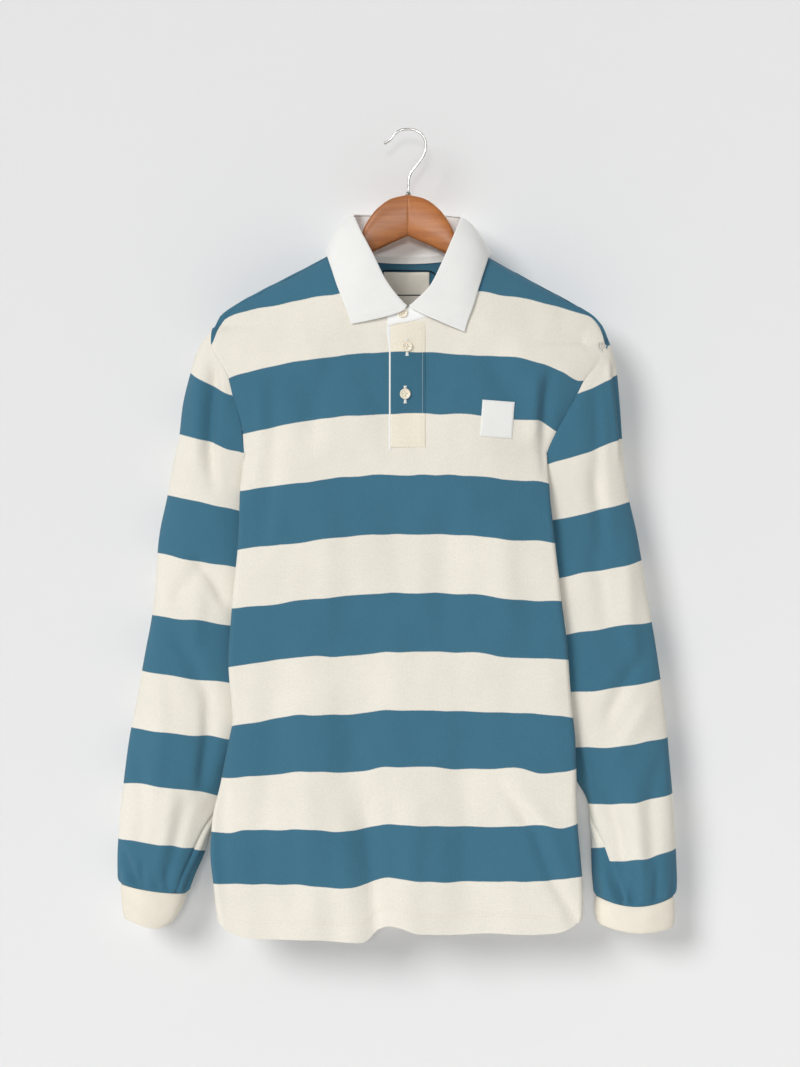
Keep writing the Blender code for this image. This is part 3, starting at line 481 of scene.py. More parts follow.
def body_relief(face, u, z):
    """How far a body panel stands out of its smooth form, in millimetres."""
    creases = FRONT_CREASES if face == "front" else BACK_CREASES
    height = sum(crease_height(crease, u, z) for crease in creases)
    calm = smoothstep((-150 - z) / 60)
    height = height + calm * unevenness(u, z, SIGN[face] * 3.7, (60, 110), 3.2)
    return height + calm * unevenness(u, z, SIGN[face] * 9.1, (24, 55), 1.1)


print(len(FRONT_CREASES), "creases in front,", len(BACK_CREASES), "at the back")

# %% [markdown]
# One helper makes every cloth. create_grid gives the faces, each point is moved
# to its place, and two UV maps go with it: "weave" holds millimetres along the
# cloth for the knit, "dye" holds the stripe count. A Solidify modifier gives
# the thickness on the inside, so the outside stays where it was measured.

# %% Cloth helpers
def across_and_down(places, closed):
    """How the places change from column to column and from row to row."""
    across, down = np.gradient(places, axis=0), np.gradient(places, axis=1)
    if closed:
        across[0] = across[-1] = (places[1] - places[-2]) / 2
    return across, down


def outward_normals(places, outward=1, closed=False):
    """Unit normals of a grid; outward is 1 or -1, whichever points out of the garment."""
    across, down = across_and_down(places, closed)
    out = np.cross(across, down) * outward
    return out / np.maximum(np.linalg.norm(out, axis=-1, keepdims=True), 1e-9)


def run_lengths(places, axis):
    """Millimetres along the cloth, counted along one axis of the grid."""
    steps = np.linalg.norm(np.diff(places, axis=axis), axis=-1)
    start = np.zeros_like(np.take(steps, [0], axis=axis))
    return np.concatenate([start, np.cumsum(steps, axis=axis)], axis=axis)


def run_back(places, axis):
    """The same, counted from the far end of that axis."""
    return np.flip(run_lengths(np.flip(places, axis), axis), axis)


def from_edges(places, axis):
    """Distance from the nearer of the two edges that the axis runs between."""
    return np.minimum(run_lengths(places, axis), run_back(places, axis))


def cloth(name, places, finish, wall, outward=1, closed=False, dye=None):
    """A sheet of cloth through a grid of places (columns, rows), in millimetres."""
    columns, rows = places.shape[0] - 1, places.shape[1] - 1
    u, v = run_lengths(places, 0), run_lengths(places, 1)
    u = u - u[len(u) // 2]
    sheet = bmesh.new()
    weave_map, dye_map = sheet.loops.layers.uv.new("weave"), sheet.loops.layers.uv.new("dye")
    bmesh.ops.create_grid(sheet, x_segments=columns, y_segments=rows, size=0.5)
    spots = {}
    for vert in sheet.verts:
        spot = round((vert.co.x + 0.5) * columns), round((vert.co.y + 0.5) * rows)
        spots[vert] = spot
        vert.co = places[spot] * MM
    for face in sheet.faces:
        for loop in face.loops:
            spot = spots[loop.vert]
            loop[weave_map].uv = u[spot] * MM, v[spot] * MM
            loop[dye_map].uv = (dye[spot] if dye is not None else 0.0), 0.0
    if closed:
        bmesh.ops.remove_doubles(sheet, verts=sheet.verts, dist=1e-6)
    if outward < 0:
        bmesh.ops.reverse_faces(sheet, faces=sheet.faces)
    for edge in sheet.edges:
        edge.smooth = not edge.is_boundary
    piece = put(name, sheet, finish)
    shell = piece.modifiers.new("thickness", "SOLIDIFY")
    shell.thickness, shell.offset = wall * MM, -1.0
    return piece


def put(name, shape, finish):
    """Put a finished bmesh into the scene, smooth-shaded, riding on the object's one body."""
    for face in shape.faces:
        face.smooth = True
    mesh = bpy.data.meshes.new(name)
    shape.to_mesh(mesh)
    shape.free()
    mesh.materials.append(finish)
    piece = bpy.data.objects.new(name, mesh)
    bpy.context.scene.collection.objects.link(piece)
    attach(piece, "root")
    return piece


def smooth_line(points, count):
    """Even points on a smooth curve through the given ones."""
    knots = [np.array(point, float) for point in points]
    knots = [2 * knots[0] - knots[1]] + knots + [2 * knots[-1] - knots[-2]]
    fine = []
    for a, b, c, d in zip(knots, knots[1:], knots[2:], knots[3:]):
        fine.extend(between(a, b, c, d, t) for t in np.linspace(0, 1, 12, endpoint=False))
    return resample(np.array(fine + [knots[-2]]), count)


def resample(line, count):
    """The same line with count points, evenly apart."""
    lengths = np.concatenate(([0], np.cumsum(np.linalg.norm(np.diff(line, axis=0), axis=1))))
    return np.stack([np.interp(np.linspace(0, lengths[-1], count), lengths, axis) for axis in line.T], axis=1)


def refined(coarse, columns, rows):
    """A finer grid on the smooth surface through a coarse one."""
    tall = np.array([smooth_line(column, rows + 1) for column in coarse])
    return np.array([smooth_line(row, columns + 1) for row in tall.transpose(1, 0, 2)]).transpose(1, 0, 2)


def strands(name, lines, radius, finish, sides=2):
    """Round threads or wires, one spline for each line of places."""
    line_data = bpy.data.curves.new(name, "CURVE")
    line_data.dimensions = "3D"
    line_data.bevel_depth = radius * MM
    line_data.bevel_resolution = sides
    line_data.use_fill_caps = True
    for line in lines:
        spline = line_data.splines.new("POLY")
        spline.points.add(len(line) - 1)
        for point, place in zip(spline.points, line):
            point.co = (*(np.array(place) * MM), 1.0)
    line_data.materials.append(finish)
    piece = bpy.data.objects.new(name, line_data)
    bpy.context.scene.collection.objects.link(piece)
    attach(piece, "root")
    return piece


def sewn(line, out, pitch=3.2, length=2.4, rise=0.22):
    """The stitches of a seam: short threads that rise out of the cloth and dive back in."""
    whole = np.linalg.norm(np.diff(line, axis=0), axis=1).sum()
    fine, outs = resample(line, int(whole / pitch) * 8 + 1), resample(out, int(whole / pitch) * 8 + 1)
    reach = round(8 * length / pitch)
    stitches = []
    for start in range(0, len(fine) - reach, 8):
        lifts = (-0.25, rise, rise, -0.25)
        picks = [start, start + 1, start + reach - 1, start + reach]
        stitches.append([fine[i] + outs[i] * lift for i, lift in zip(picks, lifts)])
    return stitches


def line_along(places, out, distance, axis=1, from_end=False):
    """The line over a cloth at a distance from one of its edges, with its normals."""
    if axis == 0:
        places, out = places.transpose(1, 0, 2), out.transpose(1, 0, 2)
    if from_end:
        places, out = places[:, ::-1], out[:, ::-1]
    lengths = run_lengths(places, 1)
    line = [[np.interp(distance, run, column[:, k]) for k in range(3)] for run, column in zip(lengths, places)]
    outs = [[np.interp(distance, run, column[:, k]) for k in range(3)] for run, column in zip(lengths, out)]
    return np.array(line), np.array(outs)


print("helpers ready")

# %% [markdown]
# Materials. Colours are written as the hex values that a picker shows and turned
# into linear light by one function. Patterns are scaled in real millimetres of
# the cloth's own UV map, so the knit keeps its size on every piece. The scale of
# a noise counts its blotches per metre: 14 is a cloud 7 cm wide, 420 is a fleck
# of 2.4 mm and 900 is a fuzz of 1.1 mm. The knit's wales are 1.1 mm apart, its
# courses 0.8 mm, a little coarser than real ones so that they show.

# %% Material helpers
def hex_colour(code):
    """A picker's sRGB hex value as linear light."""
    channels = [int(code[i:i + 2], 16) / 255 for i in (1, 3, 5)]
    return [c / 12.92 if c <= 0.04045 else ((c + 0.055) / 1.055) ** 2.4 for c in channels] + [1.0]


def add_node(tree, kind, inputs=None, **settings):
    """Adds a node; an input is given a number or colour, or the socket that feeds it."""
    made = tree.nodes.new("ShaderNode" + kind)
    for key, value in settings.items():
        setattr(made, key, value)
    for key, value in (inputs or {}).items():
        if isinstance(value, bpy.types.NodeSocket):
            tree.links.new(value, made.inputs[key])
        else:
            made.inputs[key].default_value = value
    return made


def new_finish(name, roughness, **uniform):
    """A material with only its shader and output, and the values that are the same all over."""
    made = bpy.data.materials.new(name)
    made.use_nodes = True
    tree = made.node_tree
    shader = tree.nodes["Principled BSDF"]
    shader.inputs["Roughness"].default_value = roughness
    for key, value in uniform.items():
        shader.inputs[key.replace("_", " ")].default_value = value
    return made, tree, shader


def bands(spacing):
    """The scale at which a wave texture's bands lie that many millimetres apart."""
    return 1000 / spacing / 20 * math.pi


def knit_height(tree, wale, course):
    """Bump height of a jersey: upright wales crossed by courses, both in millimetres."""
    place = add_node(tree, "UVMap", uv_map="weave")
    wales = add_node(tree, "TexWave", {"Vector": place.outputs["UV"], "Scale": bands(wale),
                                       "Distortion": 0.6, "Detail": 1.0, "Detail Scale": 2.0})
    courses = add_node(tree, "TexWave", {"Vector": place.outputs["UV"], "Scale": bands(course),
                                         "Distortion": 0.8, "Detail": 1.0, "Detail Scale": 2.0},
                       bands_direction="Y")
    crossed = add_node(tree, "Math", {0: wales.outputs["Fac"], 1: courses.outputs["Fac"]}, operation="ADD")
    fuzz = add_node(tree, "TexNoise", {"Vector": place.outputs["UV"], "Scale": 900.0, "Detail": 4.0})
    height = add_node(tree, "Math", {0: crossed.outputs[0], 1: fuzz.outputs["Fac"]}, operation="ADD")
    return place, height


def clouded(tree, place, colour, scale, spread):
    """The colour made a little lighter and darker in clouds, as worn and washed cloth is."""
    clouds = add_node(tree, "TexNoise", {"Vector": place, "Scale": scale, "Detail": 3.0, "Roughness": 0.6})
    value = add_node(tree, "MapRange", {"Value": clouds.outputs["Fac"], "From Min": 0.25, "From Max": 0.75,
                                        "To Min": 1 - spread, "To Max": 1 + spread})
    return add_node(tree, "HueSaturation", {"Color": colour, "Value": value.outputs[0]})


def jersey_finish(name, blue, cream, wale=1.1, course=0.8):
    """Striped cotton jersey: matt, soft, with a fine knit and stripe edges that step with the stitches."""
    made, tree, shader = new_finish(name, 0.93, Sheen_Weight=0.08, Sheen_Roughness=0.6,
                                    Specular_IOR_Level=0.2)
    place, knit = knit_height(tree, wale, course)
    dye = add_node(tree, "UVMap", uv_map="dye")
    count = add_node(tree, "SeparateXYZ", {0: dye.outputs["UV"]})
    fuzz = add_node(tree, "TexNoise", {"Vector": place.outputs["UV"], "Scale": 700.0, "Detail": 2.0})
    stray = add_node(tree, "MapRange", {"Value": fuzz.outputs["Fac"], "To Min": -0.006, "To Max": 0.006})
    edge = add_node(tree, "Math", {0: count.outputs["X"], 1: stray.outputs[0]}, operation="ADD")
    turn = add_node(tree, "Math", {0: edge.outputs[0], 1: math.pi}, operation="MULTIPLY")
    wave = add_node(tree, "Math", {0: turn.outputs[0]}, operation="SINE")
    share = add_node(tree, "MapRange", {"Value": wave.outputs[0], "From Min": -0.02, "From Max": 0.02})
    dyed = add_node(tree, "Mix", {"Factor": share.outputs[0], 6: hex_colour(blue), 7: hex_colour(cream)},
                    data_type="RGBA")
    broad = clouded(tree, place.outputs["UV"], dyed.outputs[2], 14.0, 0.035)
    fine = clouded(tree, place.outputs["UV"], broad.outputs[0], 420.0, 0.05)
    bump = add_node(tree, "Bump", {"Height": knit.outputs[0], "Strength": 0.45, "Distance": 0.00013})
    tree.links.new(fine.outputs[0], shader.inputs["Base Color"])
    tree.links.new(bump.outputs[0], shader.inputs["Normal"])
    return made


STRIPED_JERSEY = jersey_finish("washed striped cotton jersey", "#3D6D83", "#E5E0D4")
PLACKET_JERSEY = jersey_finish("striped jersey of the placket, a warmer cream", "#3A697F", "#EAE2D0")
print("jersey finishes made")

# %% [markdown]
# The other cloths all have parallel ridges, so one function makes them. Ribbing
# is a row of upright ridges 1.3 mm apart, collar twill has diagonal lines too
# fine to see one by one, a label's lie level, and a cord's or a thread's turn
# round it.

# %% Rib, twill, tape, label, cord and thread
def lined_finish(name, colour, spacing, depth, direction="X", roughness=0.9, spread=0.04, sheen=0.06):
    """Cloth with parallel ridges: ribs, twill lines or the ribs of a tape; spacing and depth in mm."""
    made, tree, shader = new_finish(name, roughness, Sheen_Weight=sheen, Sheen_Roughness=0.6,
                                    Specular_IOR_Level=0.2)
    place = add_node(tree, "UVMap", uv_map="weave")
    lines = add_node(tree, "TexWave", {"Vector": place.outputs["UV"], "Scale": bands(spacing),
                                       "Distortion": 0.4, "Detail": 1.0}, bands_direction=direction)
    fuzz = add_node(tree, "TexNoise", {"Vector": place.outputs["UV"], "Scale": 1100.0, "Detail": 3.0})
    small = add_node(tree, "Math", {0: fuzz.outputs["Fac"], 1: 0.35}, operation="MULTIPLY")
    height = add_node(tree, "Math", {0: lines.outputs["Fac"], 1: small.outputs[0]}, operation="ADD")
    shade = add_node(tree, "MapRange", {"Value": lines.outputs["Fac"], "To Min": 0.975, "To Max": 1.0})
    lined = add_node(tree, "HueSaturation", {"Color": hex_colour(colour), "Value": shade.outputs[0]})
    mottled = clouded(tree, place.outputs["UV"], lined.outputs[0], 40.0, spread)
    bump = add_node(tree, "Bump", {"Height": height.outputs[0], "Strength": 0.6, "Distance": depth * MM})
    tree.links.new(mottled.outputs[0], shader.inputs["Base Color"])
    tree.links.new(bump.outputs[0], shader.inputs["Normal"])
    return made


RIB = lined_finish("cream cotton rib", "#E6DFD0", 1.3, 0.12)
TWILL = lined_finish("white cotton twill", "#EAEAE7", 0.7, 0.014, direction="DIAGONAL", spread=0.02)
# The stand is the leaf's white twill painted lighter: painted light that lifts the shade inside the neck.
TWILL_PAINTED_LIGHT = lined_finish("white cotton twill with painted light", "#F3F3F1", 0.7, 0.014, direction="DIAGONAL", spread=0.015)
TAPE = lined_finish("white herringbone tape", "#F6F5F0", 1.2, 0.15, direction="DIAGONAL", spread=0.02)
LABEL = lined_finish("plain woven label", "#ECE6D8", 0.5, 0.08, direction="Y", spread=0.08)
CORD_AND_SHADOW_LINE = lined_finish("dark twisted cord, also a painted shadow line", "#1C222C", 1.0, 0.2, direction="DIAGONAL", spread=0.1)
CREAM_THREAD = lined_finish("cream sewing thread", "#E9E2D0", 0.4, 0.05, spread=0.02)
WHITE_THREAD = lined_finish("white sewing thread", "#ECECE8", 0.4, 0.05, spread=0.02)
print("cloth finishes made")


# %% [markdown]
# Three hard materials. Corozo is a nut, cut and polished: pale, faintly veined,
# with light that sinks in a little. The hanger is beech, stained and varnished,
# so its grain lies under a thin gloss. The hook is plated steel, a bright metal
# whose fine drawing marks break up what it mirrors.

# %% Corozo, beech and plated steel
def corozo_finish():
    """Polished nut: pale cream with faint veins and a soft gloss."""
    made, tree, shader = new_finish("polished corozo", 0.32, Specular_IOR_Level=0.5,
                                    Subsurface_Weight=0.15, Subsurface_Scale=0.002)
    place = add_node(tree, "TexCoord")
    veins = add_node(tree, "TexWave", {"Vector": place.outputs["Object"], "Scale": 90.0, "Distortion": 9.0,
                                       "Detail": 3.0}, bands_direction="Z")
    tint = add_node(tree, "Mix", {"Factor": veins.outputs["Fac"], 6: hex_colour("#E6DCC4"),
                                  7: hex_colour("#F0E8D6")}, data_type="RGBA")
    tree.links.new(tint.outputs[2], shader.inputs["Base Color"])
    return made


def beech_finish():
    """Stained and varnished beech: warm brown, long grain along the arms, short dark pores, a clear gloss,
    painted shade on the right arm and painted light on the left.
    """
    made, tree, shader = new_finish("varnished beech", 0.5, Coat_Weight=0.12, Coat_Roughness=0.2)
    place = add_node(tree, "TexCoord")
    along = add_node(tree, "Mapping", {"Vector": place.outputs["Object"], "Scale": (6.0, 120.0, 60.0)})
    grain = add_node(tree, "TexNoise", {"Vector": along.outputs[0], "Scale": 3.0, "Detail": 6.0,
                                        "Roughness": 0.6})
    ramp = add_node(tree, "ValToRGB", {"Fac": grain.outputs["Fac"]})
    ramp.color_ramp.elements[0].position, ramp.color_ramp.elements[0].color = 0.3, hex_colour("#A05C2A")
    ramp.color_ramp.elements[1].position, ramp.color_ramp.elements[1].color = 0.72, hex_colour("#BC763B")
    pores_at = add_node(tree, "Mapping", {"Vector": place.outputs["Object"], "Scale": (90.0, 900.0, 900.0)})
    pores = add_node(tree, "TexNoise", {"Vector": pores_at.outputs[0], "Scale": 2.0, "Detail": 2.0})
    dark = add_node(tree, "MapRange", {"Value": pores.outputs["Fac"], "From Min": 0.62, "From Max": 0.72,
                                       "To Min": 1.0, "To Max": 0.7})
    # Painted shade and light: the right arm (at -X) is darkened and the left one lightened, for the way each
    # half faces the key light.
    whereabouts = add_node(tree, "SeparateXYZ", {0: place.outputs["Object"]})
    painted_arm_shade = add_node(tree, "MapRange", {"Value": whereabouts.outputs["X"], "From Min": -0.0001,
                                        "From Max": 0.0001, "To Min": 0.87, "To Max": 1.05})
    pores_and_painted_shade = add_node(tree, "Math", {0: dark.outputs[0], 1: painted_arm_shade.outputs[0]}, operation="MULTIPLY")
    pored_and_shaded = add_node(tree, "HueSaturation", {"Color": ramp.outputs[0], "Value": pores_and_painted_shade.outputs[0]})
    bump = add_node(tree, "Bump", {"Height": grain.outputs["Fac"], "Strength": 0.15, "Distance": 0.0003})
    tree.links.new(pored_and_shaded.outputs[0], shader.inputs["Base Color"])
    tree.links.new(bump.outputs[0], shader.inputs["Normal"])
    return made


def steel_finish():
    """Bright plated wire, with faint drawing marks that break up its reflection."""
    made, tree, shader = new_finish("bright plated steel", 0.16, Metallic=1.0)
    place = add_node(tree, "TexCoord")
    marks = add_node(tree, "TexNoise", {"Vector": place.outputs["Object"], "Scale": 700.0, "Detail": 3.0})
    rough = add_node(tree, "MapRange", {"Value": marks.outputs["Fac"], "To Min": 0.10, "To Max": 0.26})
    shade = add_node(tree, "Mix", {"Factor": marks.outputs["Fac"], 6: hex_colour("#B9B7B2"),
                                   7: hex_colour("#D4D3D0")}, data_type="RGBA")
    tree.links.new(rough.outputs[0], shader.inputs["Roughness"])
    tree.links.new(shade.outputs[2], shader.inputs["Base Color"])
    return made


COROZO, BEECH, STEEL = corozo_finish(), beech_finish(), steel_finish()
print("hard finishes made")

# %% [markdown]
# The body is two panels, sewn at the sides, the shoulders and the armholes. On a
# hanger the back panel rolls a little over the shoulder ridge, so its last rows
# lie in front. Each panel could be draped by simulation, but the photograph
# fixes its outline to a millimetre, so its points are placed on the measured
# form and the creases pressed into it afterwards.

# %% Body panels
ACROSS, LOW_ROWS, HIGH_ROWS = 75, 118, 78   # columns from the middle to a seam; rows below and above the chest
CHEST = ARMPIT + 44
HEM_FOLD = -800.0                           # the side fold's width at this height spreads the hem's points
CORNER = {"right": 14.0, "left": 5.0}       # the hem's corners are rounded up this far
CORNER_SHARES = 0.04, 0.14                  # it starts this far before the side fold and takes this long
RISE = 1.5                                  # rows crowd towards the ridge by this power
NECK_SHARE = 0.33                           # columns up to this share end at the cut neck edge
SEAM_LAP = 0.2                              # the panels' edges stop this far from the shoulder seam
JERSEY_WALL = 1.3


def half_panel(side, face):
    """Places of half a panel, columns from the middle to the seam, and their distance along the cloth."""
    shares = np.linspace(0, 1, ACROSS + 1)
    x = TIP[side].x * shares
    for _ in range(5):
        ridge = RIDGE[side](x)
        at_neck = (x < NECK_HALF) & (shares < NECK_SHARE)
        drop = ridge - np.where(at_neck, neckline(face, side, x), SHOULDER_SEAM[side](x))
        x = np.where(shares < 1, abs(panel_points(side, face, shares, ridge - drop)[0][:, 0]), x)
    wraps = (face == "back") & (shares >= NECK_SHARE)
    last = np.where(wraps, -np.maximum(drop - SEAM_LAP, 0) ** (1 / RISE), (drop + SEAM_LAP) ** (1 / RISE))
    hem = HEM[face](SIGN[side] * FOLD[side](HEM_FOLD) * np.minimum(1, shares / FACE_SHARE))
    before, run = CORNER_SHARES
    hem = hem + CORNER[side] * smoothstep((shares - FACE_SHARE + before) / run)
    low = mix(hem[:, None], CHEST, np.arange(LOW_ROWS)[None, :] / LOW_ROWS)
    first = (ridge - CHEST) ** (1 / RISE)
    reach = mix(first[:, None], last[:, None], np.linspace(0, 1, HIGH_ROWS + 1)[None, :])
    high = ridge[:, None] - np.abs(reach) ** RISE
    heights = np.hstack([low, high])
    over = np.hstack([np.zeros_like(low, bool), reach < 0])
    places, along = panel_points(side, face, shares[:, None], heights)
    if face == "back":
        wrapped, _ = panel_points(side, "front", shares[:, None], heights)
        places = np.where(over[..., None], wrapped, places)
    return places, along


def from_tip(places):
    """Distance from the nearer shoulder tip."""
    return np.minimum(*(np.hypot(places[..., 0] - SIGN[side] * TIP[side].x, places[..., 2] - TIP[side].ridge)
                        for side in TIP))


def calmed(places, weight, times=500):
    """Depths inside a grid pulled towards their neighbours', the nearer the more, where weight says so."""
    across, upright, depth = places[..., 0], places[..., 2], places[..., 1].copy()
    before, inside, after = slice(0, -2), slice(1, -1), slice(2, None)
    inner = (inside, inside)
    around_it = ((before, inside), (after, inside), (inside, before), (inside, after))
    pulls = [1 / (np.hypot(across[n] - across[inner], upright[n] - upright[inner]) + 0.3) for n in around_it]
    for _ in range(times):
        middle = sum(pull * depth[n] for pull, n in zip(pulls, around_it)) / sum(pulls)
        depth[inner] = mix(depth[inner], middle, weight[inner])
    return depth


SEAM_CALM = 25.0            # creases die away over this distance from a seam
TIP_CALM = 12.0, 40.0       # and round a shoulder tip: none up to the first distance, growing over the second
SEAM_DITCH = {"top": 0.9, "side": 0.2}      # how deep the cloth is pulled in along a seam
DITCH_WIDTH = 1.6
TIP_DITCH = 4.0, 10.0       # the same two distances for the ditch
TIP_BLEND = 30.0, 14.0      # the left tip is evened out this far from it, fading over the second distance


def body_panel(face):
    """The whole panel: places, signed distance from the middle, and outward normals."""
    right, right_along = half_panel("right", face)
    left, left_along = half_panel("left", face)
    places = np.concatenate([right[:0:-1], left])
    u = np.concatenate([-right_along[:0:-1], left_along])
    outward = 1 if face == "front" else -1
    out = outward_normals(places, outward)
    relief = body_relief(face, u, places[..., 2])
    from_side, from_top = from_edges(places, 0), run_back(places, 1)
    relief = relief * smoothstep(from_side / SEAM_CALM) * smoothstep(from_top / SEAM_CALM)
    relief = relief * smoothstep((from_tip(places) - TIP_CALM[0]) / TIP_CALM[1])
    ditch = SEAM_DITCH["top"] * near(from_top, DITCH_WIDTH) + SEAM_DITCH["side"] * near(from_side, DITCH_WIDTH)
    ditch = ditch * smoothstep((from_tip(places) - TIP_DITCH[0]) / TIP_DITCH[1])
    places = places + out * (relief - ditch)[..., None]
    if face == "front":
        blend = smoothstep((TIP_BLEND[0] - from_tip(places)) / TIP_BLEND[1])
        places[..., 1] = calmed(places, blend * (places[..., 0] > 0))
    return places, u, outward_normals(places, outward), outward


PANELS = {}
for face in ("front", "back"):
    places, u, out, outward = body_panel(face)
    panel = cloth(f"{face}_of_body", places, STRIPED_JERSEY, JERSEY_WALL, outward,
                  dye=body_stripes(face, u, places[..., 2]))
    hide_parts(f"{face}_panel")
    PANELS[face] = (panel, places, out)
    print(panel.name, len(panel.data.polygons), "faces")

# %% [markdown]
# The hem is turned up and held by two rows of stitches, some 20 mm above the edge.
# Every stitch is a real piece of thread: a short spline with a round bevel that
# rises out of the cloth and dives back in.

# %% Hem stitches
HEM_ROWS = (18.5, 21.5)     # heights of the two rows above the edge
HEM_THREAD = 0.17           # its radius
for face in ("front", "back"):
    panel, places, out = PANELS[face]
    rows = [sewn(*line_along(places, out, distance)) for distance in HEM_ROWS]
    thread = strands(f"hem_stitches_{face}", rows[0] + rows[1], HEM_THREAD, CREAM_THREAD)
    PANELS[face] += (thread,)
    print(thread.name, len(rows[0]) + len(rows[1]), "stitches")

# %% [markdown]
# A sleeve is one piece of jersey closed by the underarm seam. The seam starts at
# the armpit, hidden behind the body, and swings to the front near the cuff,
# where the stripes of its two edges don't quite meet. So the grid of the sleeve
# starts and ends on that seam.

# %% Sleeves
SLEEVE_SEAM = {"right": named("z turn", (-714, 0.5), (-746, 0.42), (-784, 0.385), (-811, 0.372)),
               "left": named("z turn", (-724, 0.5), (-764, 0.378), (-818, 0.312))}
SEAM_STEP = {"right": -1.6, "left": 15.0}      # how much higher the stripes lie beyond the seam
CUFFS = {
    "right": dict(seam_outer=-804, seam_inner=-814, seam_dip=1.5, outer=303.0, inner=251.0, foot_outer=-841.5,
                  foot_inner=-843.6, dip=7.5, lean=1.6, half=15.5),
    "left": dict(seam_outer=-817, seam_inner=-816.5, seam_dip=10.0, outer=284.0, inner=202.5, foot_outer=-849.7,
                 foot_inner=-845.7, dip=7.5, lean=1.0, half=16.0),
}
SLEEVE_CREASES = {
    "right": (
        Crease(6, -7.5, 0.2, ((-201, -216), (-204, -262), (-208, -300), (-210, -340), (-204, -400))),
        Crease(8, 3.4, 0.0, ((-221, -240), (-224, -300), (-226, -380))),
        Crease(7, -4.8, -0.2, ((-236, -448), (-220, -463), (-206, -482), (-190, -512))),
        Crease(7, -4.2, 0.2, ((-212, -458), (-228, -474), (-256, -512))),
        Crease(8, 2.8, 0.2, ((-222, -478), (-222, -510), (-228, -560))),
        Crease(9, -4.2, 0.2, ((-262, -520), (-232, -560), (-204, -620))),
        Crease(7, -5.6, -0.2, ((-212, -580), (-213, -640), (-222, -720))),
        Crease(11, 3.0, 0.2, ((-270, -550), (-262, -640), (-272, -730))),
        Crease(9, -3.0, 0.0, ((-290, -640), (-282, -710), (-288, -790))),
        Crease(8, 2.8, 0.0, ((-246, -680), (-256, -740), (-270, -810))),
        Crease(7, -2.6, 0.2, ((-232, -700), (-246, -760), (-262, -830))),
        Crease(4.0, -4.6, 0.2, ((-307, -758), (-299, -780), (-290, -803), (-284, -832))),
        Crease(3.6, -3.6, 0.1, ((-284, -768), (-282, -800), (-280, -836))),
        Crease(3.6, -2.6, 0.1, ((-254, -776), (-256, -806), (-256, -840))),
    ),
    "left": (
        Crease(3.2, 2.4, 0.0, ((210, -210), (213.5, -262), (218.5, -295), (223, -325), (226, -370))),
        Crease(3.8, -3.0, 0.2, ((217, -215), (219.5, -262), (225, -300), (228, -330), (230, -370))),
        Crease(7, -3.2, 0.2, ((196, -250), (200, -300), (203, -360), (206, -420))),
        Crease(8, -4.2, 0.2, ((196, -350), (204, -400), (208, -470))),
        Crease(9, -3.4, 0.2, ((188, -430), (206, -480), (214, -550))),
        Crease(9, 3.0, 0.0, ((230, -430), (236, -520), (246, -600))),
        Crease(8, -4.8, 0.2, ((254, -552), (230, -592), (204, -644))),
        Crease(8, 2.8, -0.2, ((262, -600), (238, -636), (212, -684))),
        Crease(9, -3.2, 0.0, ((270, -650), (258, -720), (264, -810))),
        Crease(8, -4.8, 0.2, ((210, -690), (224, -750), (234, -830))),
        Crease(8, 2.8, 0.0, ((238, -680), (244, -750), (250, -830))),
        Crease(4.0, 2.6, 0.2, ((181, -630), (190, -672), (197, -708), (205, -750))),
        Crease(4.0, -4.4, 0.2, ((206, -770), (218, -801), (227, -822), (236, -850))),
        Crease(3.8, -4.2, 0.1, ((243, -768), (240, -806), (237, -850))),
        Crease(3.6, -2.6, -0.1, ((266, -776), (264, -810), (266, -850))),
    ),
}
AROUND, SLEEVE_ROWS = 84, 168
WAY_ROUND = np.arange(AROUND + 1)[:, None] / AROUND     # share of the way round, from the seam to the seam
GATHERS, GATHER_HEIGHT, GATHER_REACH = 11, 1.5, 16.0    # small pleats above the cuff
BACK_SHIFT = 30.0                                       # the hidden side has the same creases, this much higher
SLEEVE_CALM = {"top": 22.0, "foot": 6.0}                # creases die away over these distances from its seams
SLEEVE_TIP_CALM = 8.0, 24.0                             # and round the shoulder tip, as on the body
SLEEVE_DITCH = {"top": 0.15, "foot": 1.1, "seam": 1.8}  # how deep its seams pull the cloth in
WELT, WELT_FROM, WELT_WIDTH = 0.9, 6.0, 2.6             # the turning lifts it on one side of the underarm seam


def share_of(turn):
    """Share of the way across a sleeve, from its outer edge to its inner one, at a turn round it."""
    return (1 - np.cos(2 * math.pi * turn)) / 2


def sleeve_top(side, turn):
    """Height of the armhole seam where the sleeve is turned that far: 0 outside, 0.25 front, 0.5 inside."""
    heights = np.linspace(TIP[side].ridge, ARMPIT, 120)
    ends = {face: np.interp(share_of(turn), sleeve_share(side, armhole_x(side, face, heights), heights), heights)
            for face in ("front", "back")}
    return np.where(turn <= 0.5, ends["front"], ends["back"]) - 0.05


def cuff_seam(side, share):
    """Height of the seam between a sleeve and its cuff."""
    cuff = CUFFS[side]
    return mix(cuff["seam_outer"], cuff["seam_inner"], share) - cuff["seam_dip"] * 4 * share * (1 - share)


def around(side, turn, z):
    """Places on a sleeve's smooth form."""
    angle = 2 * math.pi * turn
    x = SIGN[side] * mix(OUTER[side](z), INNER[side](z), share_of(turn))
    return np.stack([x, MIDDLE(z) - HALF(z) * np.sin(angle), z], axis=-1)


def sleeve_places(side):
    """The grid of a sleeve: places, turns and stripe counts."""
    down = np.linspace(0, 1, SLEEVE_ROWS + 1)[None, :]
    seam_turn = curve(SLEEVE_SEAM[side], "z", "turn")
    top = sleeve_top(side, (0.5 + WAY_ROUND) % 1.0)
    foot = cuff_seam(side, share_of(SLEEVE_SEAM[side][-1].turn + WAY_ROUND)) + 0.2
    z = mix(top, foot, down)
    turn = seam_turn(z) + WAY_ROUND
    places = around(side, turn, z)
    beyond = np.clip(1 - WAY_ROUND / 0.5, 0, 1)
    dye = sleeve_stripes(side, share_of(turn), z - SEAM_STEP[side] * beyond)
    return places, turn, dye


